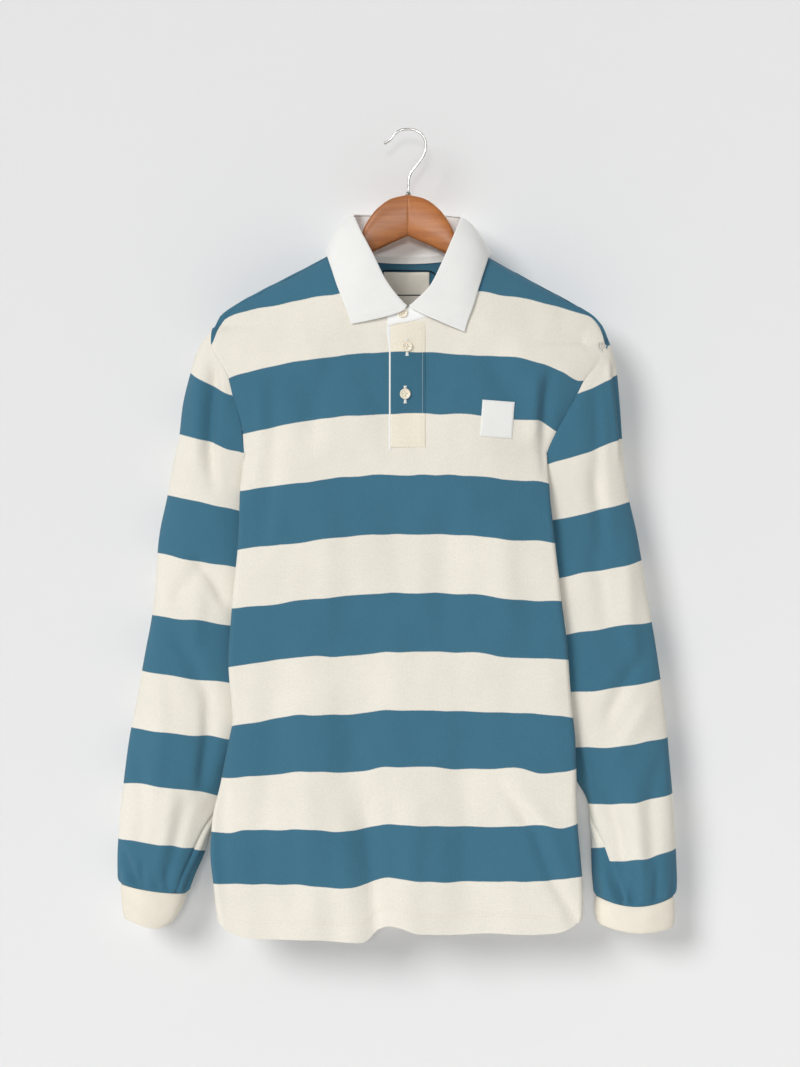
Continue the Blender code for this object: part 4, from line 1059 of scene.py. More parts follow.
def sleeve_relief(side, places, turn):
    """How far a sleeve stands out of its smooth form."""
    z = places[..., 2]
    facing = np.sin(2 * math.pi * turn)
    front = smoothstep(facing / 0.25)
    height = sum(crease_height(crease, places[..., 0], z) for crease in SLEEVE_CREASES[side]) * front
    mirrored = sum(crease_height(crease, places[..., 0], z - BACK_SHIFT) for crease in SLEEVE_CREASES[side])
    height = height + mirrored * smoothstep(-facing / 0.25)
    round_the_arm = 40 * np.cos(2 * math.pi * turn)
    height = height + unevenness(round_the_arm + 90 * facing, z, SIGN[side] * 5.3, (50, 80), 2.8)
    gathers = np.sin(2 * math.pi * turn * GATHERS + 3 * unevenness(round_the_arm, z, 2.0, (30, 60), 1.0))
    above_cuff = z - cuff_seam(side, share_of(turn))
    return height + GATHER_HEIGHT * gathers * near(above_cuff, GATHER_REACH)


for side in ("right", "left"):
    outward = SIGN[side]
    places, turn, dye = sleeve_places(side)
    out = outward_normals(places, outward, closed=True)
    from_top, from_foot = run_lengths(places, 1), run_back(places, 1)
    relief = sleeve_relief(side, places, turn) * smoothstep(from_top / SLEEVE_CALM["top"])
    relief = relief * smoothstep(from_foot / SLEEVE_CALM["foot"])
    relief = relief * smoothstep((from_tip(places) - SLEEVE_TIP_CALM[0]) / SLEEVE_TIP_CALM[1])
    girth = 2 * (OUTER[side](places[..., 2]) - INNER[side](places[..., 2]))
    from_seam = np.minimum(WAY_ROUND, 1 - WAY_ROUND) * girth
    ditch = (SLEEVE_DITCH["top"] * near(from_top, DITCH_WIDTH) + SLEEVE_DITCH["foot"] * near(from_foot, 1.8)
             + SLEEVE_DITCH["seam"] * near(from_seam, DITCH_WIDTH)
             - WELT * near(from_seam - WELT_FROM, WELT_WIDTH) * (WAY_ROUND < 0.5))
    places = places + out * (relief - ditch)[..., None]
    sleeve = cloth(f"sleeve_of_the_{side}_arm", places, STRIPED_JERSEY, JERSEY_WALL, outward, closed=True,
                   dye=dye)
    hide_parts(f"sleeve_{side}")
    print(sleeve.name, len(sleeve.data.polygons), "faces")

# %% [markdown]
# The cuffs are ribbing, knitted double and sewn on slightly stretched, which is
# what gathers the sleeve above them. The ribs are in the material; the form has
# the soft bulge of a doubled band.

# %% Cuffs
CUFF_ROWS, CUFF_WALL = 18, 2.2
CUFF_MIDDLE = 3.0           # depth of its middle
for side in ("right", "left"):
    cuff = CUFFS[side]
    down = np.linspace(0, 1, CUFF_ROWS + 1)[None, :]
    share = share_of(WAY_ROUND)
    top = around(side, WAY_ROUND, cuff_seam(side, share) - 0.1)
    low = (mix(cuff["foot_outer"], cuff["foot_inner"], share)
           - cuff["dip"] * np.sin(math.pi * share ** cuff["lean"]) ** 0.8)
    foot = np.stack([SIGN[side] * mix(cuff["outer"], cuff["inner"], share),
                     CUFF_MIDDLE - cuff["half"] * np.sin(2 * math.pi * WAY_ROUND), low], axis=-1)
    places = mix(top, foot, down[..., None])
    out = outward_normals(places, SIGN[side], closed=True)
    bulge = 0.5 * np.sin(math.pi * down) ** 0.8 - 0.9 * near(down, 0.07)
    rolls = unevenness(80 * share + 40 * (WAY_ROUND > 0.5), places[..., 2], 7.7, (22, 60), 2.2)
    places = places + out * (bulge + rolls * np.sin(math.pi * down) - 1.0 * (down > 0.97))[..., None]
    band = cloth(f"cuff_of_the_{side}_arm", places, RIB, CUFF_WALL, SIGN[side], closed=True)
    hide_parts(f"cuff_{side}")
    print(band.name, len(band.data.polygons), "faces")

# %% [markdown]
# The collar has two parts: the stand, a band that rises from the neck seam, and
# the leaf, which rolls over the stand and falls to its points. Both are drawn
# from a few stations round the neck: where the roll line runs, where the outer
# edge falls, and how much the cloth swells between them.

# %% Collar leaf
Leaf = namedtuple("Leaf", "roll edge swell")
LEAVES = {
    "right": (
        Leaf((-1.5, -39.5, -190.5), (-59.8, -37.3, -209.0), 0.4),
        Leaf((-13.0, -39.5, -178.5), (-63.2, -36.3, -199.0), 0.8),
        Leaf((-25.4, -38.5, -161.0), (-68.5, -34.5, -185.5), 1.5),
        Leaf((-38.0, -34.5, -135.0), (-75.5, -30.0, -167.5), 3.0),
        Leaf((-50.0, -25.0, -112.0), (-81.5, -22.0, -149.5), 4.0),
        Leaf((-57.0, -12.0, -96.5), (-86.0, -13.0, -136.5), 4.0),
        Leaf((-59.6, 4.0, -89.5), (-88.5, 5.0, -130.0), 3.5),
        Leaf((-51.0, 25.0, -87.5), (-72.0, 28.0, -138.0), 3.5),
        Leaf((-27.0, 35.0, -87.5), (-36.0, 39.0, -143.5), 2.5),
        Leaf((0.0, 38.0, -88.0), (0.0, 41.0, -145.0), 2.0)),
    "left": (
        Leaf((1.5, -39.5, -190.5), (59.4, -37.5, -217.3), 0.4),
        Leaf((12.0, -39.5, -181.5), (63.0, -36.6, -205.5), 0.8),
        Leaf((25.0, -38.5, -167.5), (68.8, -35.0, -190.0), 1.5),
        Leaf((37.0, -34.5, -143.5), (75.5, -30.0, -168.5), 3.0),
        Leaf((47.5, -25.0, -119.0), (81.5, -22.0, -150.0), 4.0),
        Leaf((55.0, -12.0, -100.5), (85.6, -13.0, -137.5), 4.0),
        Leaf((58.4, 4.0, -92.0), (88.0, 5.0, -131.0), 3.5),
        Leaf((50.0, 25.0, -88.5), (72.0, 28.0, -138.0), 3.5),
        Leaf((27.0, 35.0, -87.5), (36.0, 39.0, -143.5), 2.5),
        Leaf((0.0, 38.0, -88.0), (0.0, 41.0, -145.0), 2.0)),
}
LEAF_ROWS, LEAF_COLUMNS = 24, 90
ROLL = 1.2              # radius of the fold over the stand
FOLD_SHARES = (-0.09, -0.06, -0.03)     # three rows more, before the roll line, for that fold
LEAF_DROPS = np.concatenate((FOLD_SHARES, np.linspace(0, 1, LEAF_ROWS + 1)))
LEAF_BOW = {"right": 8.6, "left": 3.6}  # the front edge falls in a curve, this far from a straight line
BACK_STATION = 9        # the middle of the back, where the two halves meet
TWILL_WALL = 1.4
COLLAR_STITCH = 5.0     # the stitching's distance from the edge
CRUMPLE_AT, DENT_AT = 12.4, 9.1         # stations, counted on from the right point round to the left one
TOPSTITCH = 2.8, 2.0, 0.12      # its pitch, length and rise
THREAD = 0.14           # radius of a sewing thread


def leaf_at(side, station):
    """Roll line, outer edge and swell of the leaf between two stations."""
    rows = LEAVES[side]
    i = min(int(station), len(rows) - 2)
    t = station - i
    four = [rows[min(max(i + k, 0), len(rows) - 1)] for k in (-1, 0, 1, 2)]
    return Leaf(*(between(*(np.array(getattr(row, key), float) for row in four), t) for key in Leaf._fields))


def leaf_out(side, station):
    """The leaf's outward direction at a station."""
    before, after = leaf_at(side, max(station - 0.3, 0)), leaf_at(side, min(station + 0.3, BACK_STATION))
    here = leaf_at(side, station)
    out = np.cross(after.roll - before.roll, here.edge - here.roll)
    return out / np.linalg.norm(out) * (1 if side == "right" else -1)


def leaf_column(side, station):
    """One column of the leaf: the fold over the stand, then down to the outer edge."""
    here, out = leaf_at(side, station), leaf_out(side, station)
    t = np.maximum(LEAF_DROPS, 0)[:, None]
    down = here.edge - here.roll
    fall = here.roll + down * t
    bow = LEAF_BOW[side] * math.exp(-station / 0.8)
    fall = fall - np.array((0, 0, bow)) * t ** 0.3 * (1 - t)
    turned = math.pi * np.clip(LEAF_DROPS / FOLD_SHARES[0], 0, 1)[:, None]
    fold = out * ROLL * (np.cos(turned) - 1) - down / np.linalg.norm(down) * ROLL * np.sin(turned)
    return fall + fold + out * here.swell * 4 * t * (1 - t)


stations = np.linspace(0, BACK_STATION, LEAF_COLUMNS + 1)
leaf = np.array([leaf_column("right", station) for station in stations]
                + [leaf_column("left", station) for station in stations[-2::-1]])
out = outward_normals(leaf)
at = np.linspace(0, 2 * BACK_STATION, len(leaf))[:, None] * np.ones(len(LEAF_DROPS))
t = np.maximum(LEAF_DROPS, 0)[None, :]
limp = unevenness(at * 25, 50 * t, 4.4, (45, 40), 1.8) * np.sin(math.pi * t)
crumple = 1.6 * near(at - CRUMPLE_AT, 0.35) * near(t - 0.15, 0.2)
dent = -2.2 * near(at - DENT_AT, 0.5) * (1 - t) ** 0.5
from_edge = np.minimum(run_back(leaf, 1), from_edges(leaf, 0))
stitched = -0.45 * near(from_edge - COLLAR_STITCH, 1.0) - 0.5 * near(from_edge, 0.8)
leaf = leaf + out * (limp + crumple + dent + stitched)[..., None]
out = outward_normals(leaf)
collar_leaf = cloth("collar_leaf", leaf, TWILL, TWILL_WALL)
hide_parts("collar_fall")
threads = sewn(*line_along(leaf[5:-5], out[5:-5], COLLAR_STITCH, from_end=True), *TOPSTITCH)
for from_end in (False, True):
    line, line_out = line_along(leaf, out, COLLAR_STITCH, axis=0, from_end=from_end)
    threads += sewn(line[5:LEAF_ROWS + 2], line_out[5:LEAF_ROWS + 2], *TOPSTITCH)
collar_stitches = strands("collar_stitches", threads, THREAD, WHITE_THREAD)
print(collar_leaf.name, len(collar_leaf.data.polygons), "faces")

# %% [markdown]
# The stand is seen inside the neck opening, and as two strips in front where
# the leaf opens. Its foot follows the cut neck edge, its head hides under the
# roll line. A coarse grid of a few columns is enough to say that; refined()
# lays a smooth surface through them.

# %% Collar stand
Band = namedtuple("Band", "station foot face lap")
BAND = (
    Band(1.0, 18.0, "front", 2.5), Band(2.0, 30.0, "front", 2.0), Band(3.3, 48.0, "front", 1.5),
    Band(4.6, 62.0, "front", 0.5), Band(5.7, 68.0, "front", -3.8), Band(6.3, 66.0, "back", -4.8),
    Band(7.0, 60.0, "back", -0.8), Band(8.0, 30.0, "back", -0.8), Band(9.0, 0.0, "back", -0.8))
BAND_LAP = named("x head foot", (0.0, -191.5, -206.6), (-12.0, -193.5, -208.6), (-21.6, -195.0, -211.4))
STAND_COLUMNS, STAND_ROWS, COARSE_ROWS = 150, 14, 3
SHOWN_FROM = 100        # the columns from here on show in front, and only they are stitched
STAND_STITCH = 1.6      # the stitching's distance from the foot
STAND_TOPSTITCH = 2.8, 2.0, 0.15
PANEL_WALL = 1.5        # the inside of a body panel lies this far behind its outside


def panel_y(face, x, z):
    """Depth of a body panel's broad face at x and z, creases left out."""
    x, z = np.broadcast_arrays(np.asarray(x, float), np.asarray(z, float))
    depth = np.empty(x.shape)
    for place in np.ndindex(x.shape):
        xs, ys = section("right" if x[place] < 0 else "left", face, z[place])
        depth[place] = np.interp(abs(x[place]), xs[0, :FACE_STEPS], ys[0, :FACE_STEPS])
    return depth


def on_front(x, z, lift):
    """Places that float lift in front of the front panel, creases and all."""
    x, z = np.broadcast_arrays(np.asarray(x, float), np.asarray(z, float))
    return np.stack([x, panel_y("front", x, z) - lift - body_relief("front", x, z), z], axis=-1)


def inside_back(x, z, lift):
    """Places that float lift inside the back panel, towards the viewer."""
    x, z = np.broadcast_arrays(np.asarray(x, float), np.asarray(z, float))
    return np.stack([x, panel_y("back", x, z) - PANEL_WALL - lift, z], axis=-1)


def lined_up(head, foot):
    """Even places or heights from a head to a foot, one for each row of the coarse grid."""
    return [mix(head, foot, i / COARSE_ROWS) for i in range(COARSE_ROWS + 1)]


def band_column(side, band):
    """One coarse column of the stand, from the roll line down to its foot on the panel."""
    x = SIGN[side] * band.foot
    z = neckline(band.face, side, band.foot) - band.lap
    over = 2 * LIFT + TWILL_WALL if band.lap > 0 else 0
    foot = on_front(x, z, over) if band.face == "front" else inside_back(x, z, -PANEL_WALL)
    head = leaf_at(side, band.station).roll - leaf_out(side, band.station) * (TWILL_WALL + 3.6 * LIFT)
    return lined_up(head - (0, 0, 1.0), foot)


band = [band_column("right", row) for row in BAND] + [band_column("left", row) for row in BAND[-2::-1]]
for row in BAND_LAP:
    band.append([on_front(row.x, z, LIFT + TWILL_WALL) for z in lined_up(row.head, row.foot)])
stand = refined(np.array(band), STAND_COLUMNS, STAND_ROWS)
out = outward_normals(stand)
t = np.linspace(0, 1, STAND_ROWS + 1)[None, :]
at = np.arange(STAND_COLUMNS + 1.0)[:, None]
stand = stand + out * (unevenness(at * 2.6, 30 * t, 6.2, (40, 30), 1.0) * np.sin(math.pi * t)
                       - 0.5 * near(1 - t, 0.04))[..., None]
collar_stand = cloth("collar_stand_band", stand, TWILL_PAINTED_LIGHT, TWILL_WALL)
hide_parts("collar_stand")
foot_line, foot_out = line_along(stand, outward_normals(stand), STAND_STITCH, from_end=True)
shown = slice(SHOWN_FROM, STAND_COLUMNS)
stand_stitches = strands("stand_stitches", sewn(foot_line[shown], foot_out[shown], *STAND_TOPSTITCH), THREAD,
                         WHITE_THREAD)
print(collar_stand.name, len(collar_stand.data.polygons), "faces")

# %% [markdown]
# The placket is a strip of the same striped jersey on the front opening, cut so
# that its stripes meet the body's. A white facing shows as a thin line along its
# open edge.

# %% Placket and facing
PLACKET_LEFT, PLACKET_RIGHT, PLACKET_TOP, PLACKET_FOOT = -18.3, 18.0, -207.5, -338.8
PLACKET_SLANT = 0.17        # its top edge follows the stand
PLACKET_GRID = 36, 70
SEAM_LEFT, SEAM_FOOT = 3.0, 4.0             # the stitching's distance from its edges
PLACKET_TOPSTITCH = 2.6, 1.9, 0.15
FACING_WIDTH, FACING_LOW, FACING_STEP, FACING_DROP = 4.0, 1.7, -236.0, 3.6
FACING_LIFT, FACING_WALL = 0.8, 0.9


def strip(left, right, top, foot, lift, steps, slant=0.0):
    """A strip of cloth laid on the front; top and foot are heights."""
    x = np.linspace(left, right, steps[0] + 1)[:, None]
    t = np.linspace(0, 1, steps[1] + 1)[None, :]
    return on_front(x * np.ones_like(t), mix(top + slant * x, foot, t), lift)


def softened(places, width, depth, outward=1):
    """The same grid with its edges turned down, as a folded edge is."""
    edge = np.minimum(from_edges(places, 0), from_edges(places, 1))
    out = outward_normals(places, outward)
    return places - out * (depth * near(edge, width))[..., None]


def placket_swell(x, z):
    """How far the placket's cloth swells off the front."""
    return unevenness(x, z, 8.8, (30, 45), 0.9)


placket = strip(PLACKET_LEFT, PLACKET_RIGHT, PLACKET_TOP, PLACKET_FOOT, LIFT + TWILL_WALL, PLACKET_GRID,
                PLACKET_SLANT)
x, z = placket[..., 0], placket[..., 2]
seam = -0.3 * near(x - PLACKET_RIGHT + SEAM_LEFT, 1.0) - 0.3 * near(x - PLACKET_LEFT - SEAM_LEFT, 1.0)
placket = softened(placket, 1.2, 0.6, -1)
placket[..., 1] -= seam + placket_swell(x, z)
placket_piece = cloth("placket_strip", placket, PLACKET_JERSEY, TWILL_WALL, -1, dye=body_stripes("front", x, z))
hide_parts("placket")
z = np.linspace(PLACKET_TOP, PLACKET_FOOT, 61)[None, :] - FACING_DROP
shown = mix(FACING_LOW, FACING_WIDTH, smoothstep((z - FACING_STEP) / 20))   # how much of it shows
x = PLACKET_LEFT + 0.4 - np.linspace(1, 0, 7)[:, None] * (shown + 0.5)
facing = on_front(x, z * np.ones((7, 1)), LIFT + FACING_LIFT)
facing_piece = cloth("placket_edge_facing", softened(facing, 0.8, 0.6, -1), TWILL, FACING_WALL, -1)
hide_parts("placket_facing")

out = outward_normals(placket, -1)
seams = [line_along(placket, out, SEAM_LEFT, axis=0, from_end=True),
         line_along(placket, out, SEAM_FOOT, from_end=True)]
threads = []
for line, line_out in seams:
    threads += sewn(line[2:-2], line_out[2:-2], *PLACKET_TOPSTITCH)
placket_stitches = strands("placket_stitches", threads, THREAD, CREAM_THREAD)
print(placket_piece.name, len(placket_piece.data.polygons), "faces,", len(threads), "stitches")

# %% [markdown]
# A turned button: its profile is drawn once as a row of points and spun round.
# Four holes are shown as short dark plugs, painted shadow where the holes lie,
# and two loops of thread hold it. The buttonholes are worked upright, so they
# show above and below.

# %% Buttons and buttonholes
Button = namedtuple("Button", "x z turn")
BUTTONS = (Button(-5.9, -197.0, 20), Button(-1.0, -232.8, 35), Button(-3.0, -282.8, 50))
BUTTON_RADIUS, BUTTON_THICK = 5.7, 2.4
HOLE_RING, HOLE_RADIUS, HOLE_PLUG = 1.75, 0.75, 0.25    # radius of their ring, of a hole, depth of a plug
HOLE_ABOVE, HOLE_BELOW = 8.3, 9.7                       # how far a buttonhole reaches from the button's middle
PROFILE = ((0.0, 0.52), (0.42, 0.50), (0.60, 0.52), (0.70, 0.80), (0.80, 0.97), (0.90, 0.98), (0.97, 0.80),
           (1.0, 0.50), (0.95, 0.18), (0.80, 0.02), (0.0, 0.0))
# Painted shadow: the dark plugs stand in for the shade inside the button's holes.
PAINTED_HOLE_SHADOW = lined_finish("shadow in a button's holes", "#A08A66", 0.5, 0.05)


def turned_button(name, seat):
    """The disc: its profile spun round an axis that points at the viewer."""
    disc = bmesh.new()
    verts = [disc.verts.new((r * BUTTON_RADIUS * MM, h * -BUTTON_THICK * MM, 0)) for r, h in PROFILE]
    edges = [disc.edges.new(pair) for pair in zip(verts, verts[1:])]
    bmesh.ops.spin(disc, geom=verts + edges, axis=(0, 1, 0), cent=(0, 0, 0), steps=48,
                   angle=2 * math.pi, use_merge=True)
    bmesh.ops.remove_doubles(disc, verts=disc.verts, dist=1e-6)
    bmesh.ops.recalc_face_normals(disc, faces=disc.faces)
    bmesh.ops.translate(disc, verts=disc.verts, vec=seat * MM)
    return put(name, disc, COROZO)


def button_holes(name, seat, turn):
    """Four short plugs that stand for the shadow in the holes."""
    holes = bmesh.new()
    for quarter in range(4):
        a = math.radians(turn + 45 + 90 * quarter)
        at = Vector((HOLE_RING * math.cos(a), -0.50 * BUTTON_THICK, HOLE_RING * math.sin(a)))
        matrix = Matrix.Translation((Vector(seat) + at) * MM) @ Matrix.Rotation(math.radians(90), 4, "X")
        bmesh.ops.create_cone(holes, cap_ends=True, segments=16, radius1=HOLE_RADIUS * MM,
                              radius2=HOLE_RADIUS * MM, depth=HOLE_PLUG * MM, matrix=matrix)
    return put(name, holes, PAINTED_HOLE_SHADOW)


def button_threads(name, seat, turn):
    """Two crossed loops of three threads each, through the holes."""
    lines = []
    for crossed in (0, 90):
        for shift in (-0.28, 0.0, 0.28):
            a = math.radians(turn + 45 + crossed)
            along, aside = np.array((math.cos(a), 0, math.sin(a))), np.array((-math.sin(a), 0, math.cos(a)))
            lift = 0.55 * BUTTON_THICK + (0.25 if crossed else 0.1)
            lines.append([seat + along * r + aside * shift + np.array((0, -h, 0))
                          for r, h in ((-HOLE_RING - 0.15, 0.3), (-HOLE_RING, lift), (0, lift + 0.35),
                                       (HOLE_RING, lift), (HOLE_RING + 0.15, 0.3))])
    return strands(name, lines, 0.2, CREAM_THREAD)


def buttonhole(name, x, top, foot):
    """A worked buttonhole: short threads laid side by side across the slit, longer ones at its ends."""
    z = np.linspace(top, foot, int((top - foot) / 0.5))[:, None]
    at_end = np.minimum(top - z, z - foot) < 0.8
    across = np.array([[-1.0, -0.8, 0.8, 1.0]]) * np.where(at_end, 1.6, 1.25)
    lines = on_front(x + across, z * np.ones(4), LIFT + TWILL_WALL + 0.35)
    lines[..., 1] -= placket_swell(x + across, z) - np.array([0.5, 0, 0, 0.5])
    return strands(name, lines, 0.27, WHITE_THREAD)


for i, button in enumerate(BUTTONS, start=1):
    seat = on_front(button.x, button.z, LIFT + TWILL_WALL + (-0.4 if i == 1 else 0.4))
    seat[1] -= placket_swell(button.x, button.z)
    disc = turned_button(f"button_disc_{i}", Vector(seat))
    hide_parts(f"button_{i}")
    for extra in (button_holes(f"button_holes_{i}", seat, button.turn),
                  button_threads(f"button_threads_{i}", seat, button.turn), disc):
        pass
    if i > 1:
        buttonhole(f"buttonhole_{i}", button.x, button.z + HOLE_ABOVE, button.z - HOLE_BELOW)
    print(disc.name, len(disc.data.polygons), "faces")

# %% [markdown]
# A plain square of white twill is sewn to the chest. Its edges are turned in and
# topstitched all round. It is laid on the front's own places, so it follows the
# creases under it.

# %% Chest patch
PATCH_WIDTH, PATCH_HEIGHT, PATCH_TILT = 34.0, 38.6, math.radians(-4.0)
PATCH_X, PATCH_Z, PATCH_WALL = 94.1, -309.3, 1.0
PATCH_STITCH = 1.8      # the stitching's distance from the edge
PATCH_TOPSTITCH, PATCH_THREAD = (2.2, 1.6, 0.12), 0.13
x = np.linspace(-0.5, 0.5, 25)[:, None] * PATCH_WIDTH * np.ones(29)
up = np.linspace(0.5, -0.5, 29)[None, :] * PATCH_HEIGHT * np.ones((25, 1))
patch = on_front(PATCH_X + x * math.cos(PATCH_TILT) - up * math.sin(PATCH_TILT),
                 PATCH_Z + x * math.sin(PATCH_TILT) + up * math.cos(PATCH_TILT), 2 * LIFT + 1.1)
patch = softened(patch, 0.9, 0.7, -1)
patch[..., 1] -= unevenness(x, up, 3.1, (18, 18), 0.5)
chest_patch = cloth("chest_patch_square", patch, TWILL, PATCH_WALL, -1)
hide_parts("chest_patch")
out = outward_normals(patch, -1)
threads = []
for axis in (0, 1):
    for from_end in (False, True):
        line, line_out = line_along(patch, out, PATCH_STITCH, axis=axis, from_end=from_end)
        threads += sewn(line[1:-1], line_out[1:-1], *PATCH_TOPSTITCH)
patch_stitches = strands("patch_stitches", threads, PATCH_THREAD, WHITE_THREAD)
print(chest_patch.name, len(threads), "stitches")

# %% [markdown]
# Inside the neck: a tape covers the back neck seam, a plain woven label hangs
# under it, and a cord loop is caught in behind the label.

# %% Neck tape, label and hanging loop
TRIM_LIFT, TAPE_REACH, TAPE_HEIGHT, TAPE_LIFT = 1.0, 50.0, 7.0, 1.3
TAPE_OVER = 1.4         # the tape laps this far over the foot of the stand
TAPE_WALL, LABEL_WALL = 0.8, 0.6
LABEL_LEFT, LABEL_RIGHT, LABEL_TOP, LABEL_FOOT = -26.0, 23.0, -148.5, -186.0
LOOP_RADIUS, PLY_RADIUS, PLY_OFF = 0.9, 0.4, 0.32       # the cord, a ply, and the ply's way off the middle
LOOP_POINTS, LOOP_TURNS = 120, 15
LOOP = ((-29.5, -150.5, 0), (-24, -147.0, 0.4), (-8, -146.6, 0.6), (10, -147.0, 0.6), (22, -147.3, 0.4),
        (28, -149.5, 0), (30.5, -155, 0), (30.0, -161, 0))
x = np.linspace(-TAPE_REACH, TAPE_REACH, 61)[:, None] * np.ones(9)
down = np.linspace(0, 1, 9)[None, :] * np.ones((61, 1))
tape_top = neckline("back", "left", abs(x)) + TAPE_OVER
tape = cloth("neck_seam_tape", inside_back(x, tape_top - down * TAPE_HEIGHT, TAPE_LIFT), TAPE, TAPE_WALL, -1)
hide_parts("neck_tape")

x = np.linspace(LABEL_LEFT, LABEL_RIGHT, 31)[:, None] * np.ones(25)
z = np.linspace(LABEL_TOP, LABEL_FOOT, 25)[None, :] * np.ones((31, 1))
label_places = softened(inside_back(x, z, TRIM_LIFT + 1.0), 0.7, 0.5, -1)
label_places[..., 1] -= unevenness(x, z, 1.3, (20, 14), 0.8)
label = cloth("neck_label_plain", label_places, LABEL, LABEL_WALL, -1)
# A dark strand across the label is painted shadow: the dark line that the label's lower edge throws.
label_shadow_line = label_places[7:27, 15:17].mean(axis=1) - (0, 0.1, 0)
label_line = strands("neck_label_painted_shadow_line", [label_shadow_line], 0.6, CORD_AND_SHADOW_LINE)
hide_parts("neck_label")

loop_line = smooth_line([inside_back(x, z, TRIM_LIFT + 2 * LIFT + LOOP_RADIUS + lift) for x, z, lift in LOOP],
                        LOOP_POINTS)
turns = np.linspace(0, 2 * LOOP_TURNS * math.pi, LOOP_POINTS)
plies = []
for ply in (0, math.pi):
    wind = np.stack([0 * turns, np.cos(turns + ply), np.sin(turns + ply)], axis=-1) * PLY_OFF
    plies.append(loop_line + wind)
loop = strands("hanging_loop_cord", plies, PLY_RADIUS, CORD_AND_SHADOW_LINE)
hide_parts("hanging_loop")
print("neck trims made")

# %% [markdown]
# A wooden hanger is sawn and routed in two arms that are joined in the middle
# under the hook. Each is a grid rolled into a tube whose section follows the
# measured upper and lower edge; rounded corners come from powers of the sine
# and cosine, and a small bevel at the joint leaves the fine line seen there.

# %% Hanger arms
WOODS = named("x top bottom half", (0.03, -68.5, -112.5, 6.5), (17, -72.5, -120.0, 6.5),
              (33, -83.5, -127.5, 6.5), (42, -95.0, -132.0, 6.5), (50, -109.5, -137.0, 6.5),
              (60, -126.0, -144.0, 5.0), (80, -138.5, -153.5, 5.0), (110, -151.8, -167.0, 5.4),
              (150, -173.0, -188.0, 4.4), (172, -185.0, -198.0, 3.2), (181, -192.5, -201.0, 2.6))
WOOD_BELOW = 5.0        # the wood stays this far under the shoulder's ridge
FIRST_UNDER, UNDER_RUN = 46.0, 12.0     # from here outwards the cloth lies over it
JOINT_BEVEL = 0.12
WOOD_TOP, WOOD_FOOT, WOOD_HALF = (curve(WOODS, "x", key) for key in ("top", "bottom", "half"))


def hanger_arm(side):
    """One arm: a grid rolled round its section, closed at both ends."""
    arm = bmesh.new()
    bmesh.ops.create_grid(arm, x_segments=90, y_segments=48, size=0.5)
    for vert in arm.verts:
        x = mix(WOODS[0].x, WOODS[-1].x, vert.co.x + 0.5)
        angle = (vert.co.y + 0.5) * 2 * math.pi
        across, up = math.cos(angle), math.sin(angle)
        low = max(0.0, WOOD_TOP(x) - RIDGE[side](x) + WOOD_BELOW) * smoothstep((x - FIRST_UNDER) / UNDER_RUN)
        vert.co = (SIGN[side] * x * MM,
                   (ridge_y(x) + math.copysign(abs(across) ** 0.55, across) * WOOD_HALF(x)) * MM,
                   (mix(WOOD_FOOT(x), WOOD_TOP(x), 0.5 + 0.5 * math.copysign(abs(up) ** 0.75, up)) - low) * MM)
    bmesh.ops.remove_doubles(arm, verts=arm.verts, dist=1e-6)
    rims = [edge for edge in arm.edges if edge.is_boundary]
    bmesh.ops.holes_fill(arm, edges=rims, sides=0)
    bmesh.ops.recalc_face_normals(arm, faces=arm.faces)
    bmesh.ops.bevel(arm, geom=rims, offset=JOINT_BEVEL * MM, offset_type="OFFSET", segments=2, profile=0.5,
                    material=-1, affect="EDGES")
    return put(f"hanger_arm_{side}", arm, BEECH)


for side in ("right", "left"):
    arm = hanger_arm(side)
    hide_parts(f"hanger_{side}")
    print(arm.name, len(arm.data.polygons), "faces")

# %% [markdown]
# The hook is steel wire, bent cold, with a ball at its tip and a turned ferrule
# where it enters the wood. A curve with a round bevel is the natural way to make
# wire, because its route stays a short list of places.

# %% Hook, ball and ferrule
HOOK = ((-24.1, -13.3), (-19.0, -10.0), (-13.5, -3.2), (-8.4, 0.2), (-2.7, 1.35), (3.2, 1.35), (9.4, -0.6),
        (15.2, -4.8), (18.6, -11.6), (19.0, -18.8), (17.0, -25.8), (12.6, -32.9), (7.1, -39.6),
        (2.8, -46.2), (0.8, -53.0), (0.4, -60.0), (0.4, -67.8))
WIRE_RADIUS, BALL_RADIUS = 1.25, 1.75
FERRULE_FOOT, FERRULE_HEAD, FERRULE_TALL, FERRULE_Z = 3.1, 2.1, 3.0, -67.0     # radii, height, place
hook = strands("hook_wire", [smooth_line([(x, 0, z) for x, z in HOOK], 160)], WIRE_RADIUS, STEEL, sides=6)
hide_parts("hanger_hook")
ball = bmesh.new()
bmesh.ops.create_uvsphere(ball, u_segments=24, v_segments=14, radius=BALL_RADIUS * MM,
                          matrix=Matrix.Translation(Vector((HOOK[0][0], 0, HOOK[0][1])) * MM))
put("hook_tip_ball", ball, STEEL)
ferrule = bmesh.new()
bmesh.ops.create_cone(ferrule, cap_ends=True, segments=32, radius1=FERRULE_FOOT * MM, radius2=FERRULE_HEAD * MM,
                      depth=FERRULE_TALL * MM,
                      matrix=Matrix.Translation(Vector((HOOK[-1][0], 0, FERRULE_Z)) * MM))
bmesh.ops.bevel(ferrule, geom=ferrule.edges[:], offset=0.35 * MM, offset_type="OFFSET", segments=3,
                profile=0.5, material=-1, affect="EDGES")
put("hook_ferrule", ferrule, STEEL)
print("hanger finished")

# %% [markdown]
# All the cloth pieces are made by now.

print("cloth pieces made")

# %% [markdown]
# A pale wall close behind and a floor below the picture. The photograph is lit
# almost evenly, with one broad soft light from the upper left that leaves a
# narrow shadow to the right, so the key is a wide sun over a bright surround.
# The wall lets shadow rays through, and the camera from its far side, so that
# the shirt's back is lit and seen in other views.

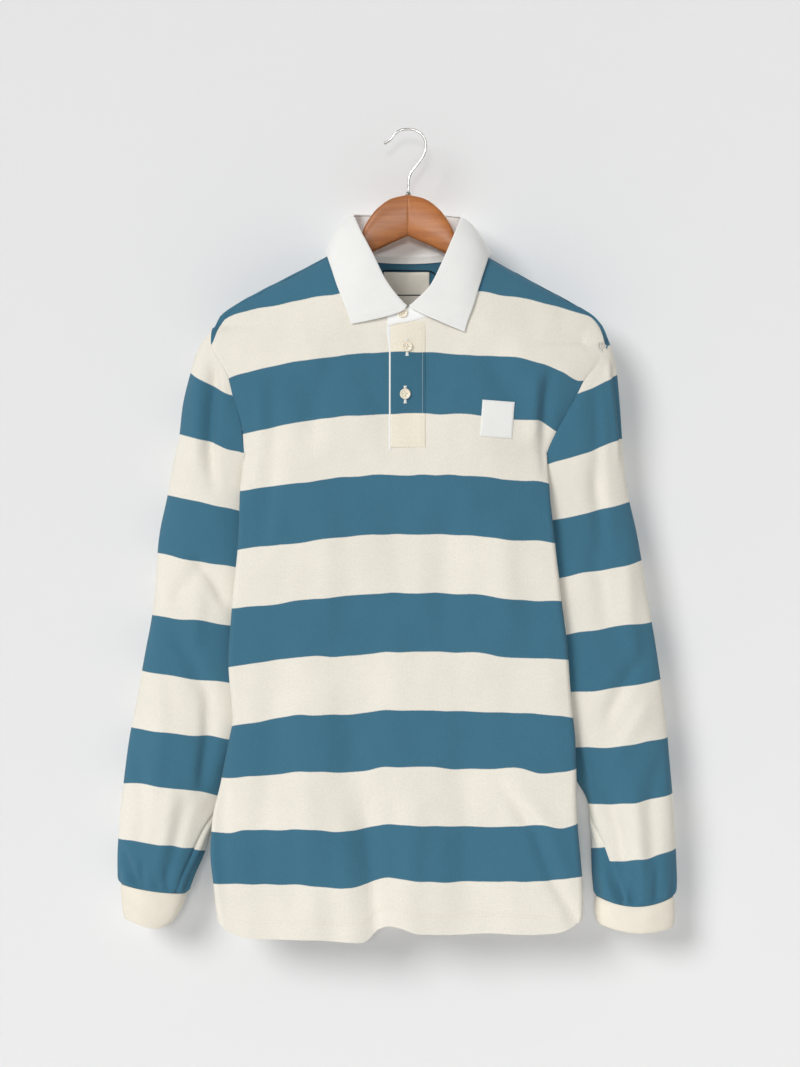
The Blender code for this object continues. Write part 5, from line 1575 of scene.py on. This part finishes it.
# %% Wall, floor and lights
def wall_finish():
    """Matt pale paint; from behind, and for shadow rays, the wall isn't there."""
    made, tree, shader = new_finish("pale studio wall", 0.95, Specular_IOR_Level=0.1)
    place = add_node(tree, "TexCoord")
    grit = clouded(tree, place.outputs["Object"], hex_colour("#E4E4E4"), 3.0, 0.003)
    tree.links.new(grit.outputs[0], shader.inputs["Base Color"])
    side = add_node(tree, "NewGeometry")
    ray = add_node(tree, "LightPath")
    through_it = add_node(tree, "Math", {0: side.outputs["Backfacing"], 1: ray.outputs["Is Shadow Ray"]},
                          operation="MAXIMUM")
    clear = add_node(tree, "BsdfTransparent")
    either = add_node(tree, "MixShader", {0: through_it.outputs[0], 1: shader.outputs[0], 2: clear.outputs[0]})
    tree.links.new(either.outputs[0], tree.nodes["Material Output"].inputs["Surface"])
    return made


def backdrop(name, size, matrix, finish):
    """A square plane, size metres from its middle to each side."""
    sheet = bmesh.new()
    bmesh.ops.create_grid(sheet, x_segments=1, y_segments=1, size=size, matrix=matrix)
    return put(name, sheet, finish)


WALL_BEHIND, FLOOR_BELOW, BACKDROP_REACH = 0.052, 1.7, 4.0      # metres
WALL_FINISH = wall_finish()
upright = Matrix.Translation((0, WALL_BEHIND, 0)) @ Matrix.Rotation(math.radians(90), 4, "X")
wall = backdrop("studio_wall", BACKDROP_REACH, upright, WALL_FINISH)
floor = backdrop("studio_floor", BACKDROP_REACH, Matrix.Translation((0, 0, -FLOOR_BELOW)), WALL_FINISH)


def wide_sun(name, towards, strength, angle):
    """A sun that shines in a direction; the angle, in degrees, softens its shadows."""
    lamp = bpy.data.lights.new(name, "SUN")
    lamp.energy, lamp.angle = strength, math.radians(angle)
    lit = bpy.data.objects.new(name, lamp)
    lit.rotation_euler = Vector(towards).to_track_quat("-Z", "Y").to_euler()
    bpy.context.scene.collection.objects.link(lit)


SUNS = named("name towards strength angle", ("key_light", (0.66, 1.0, -0.50), 1.78, 25),
             ("front_fill", (0.05, 1.0, -0.10), 0.58, 8), ("back_light", (-0.35, -1.0, -0.55), 1.9, 30))
SURROUND_STRENGTH = 0.28
for sun in SUNS:
    wide_sun(*sun)
surround = bpy.data.worlds.new("pale studio")
surround.use_nodes = True
surround.node_tree.nodes["Background"].inputs["Color"].default_value = hex_colour("#FFFFFF")
surround.node_tree.nodes["Background"].inputs["Strength"].default_value = SURROUND_STRENGTH
bpy.context.scene.world = surround
bpy.context.scene.view_settings.view_transform = "Standard"
print("stage set")
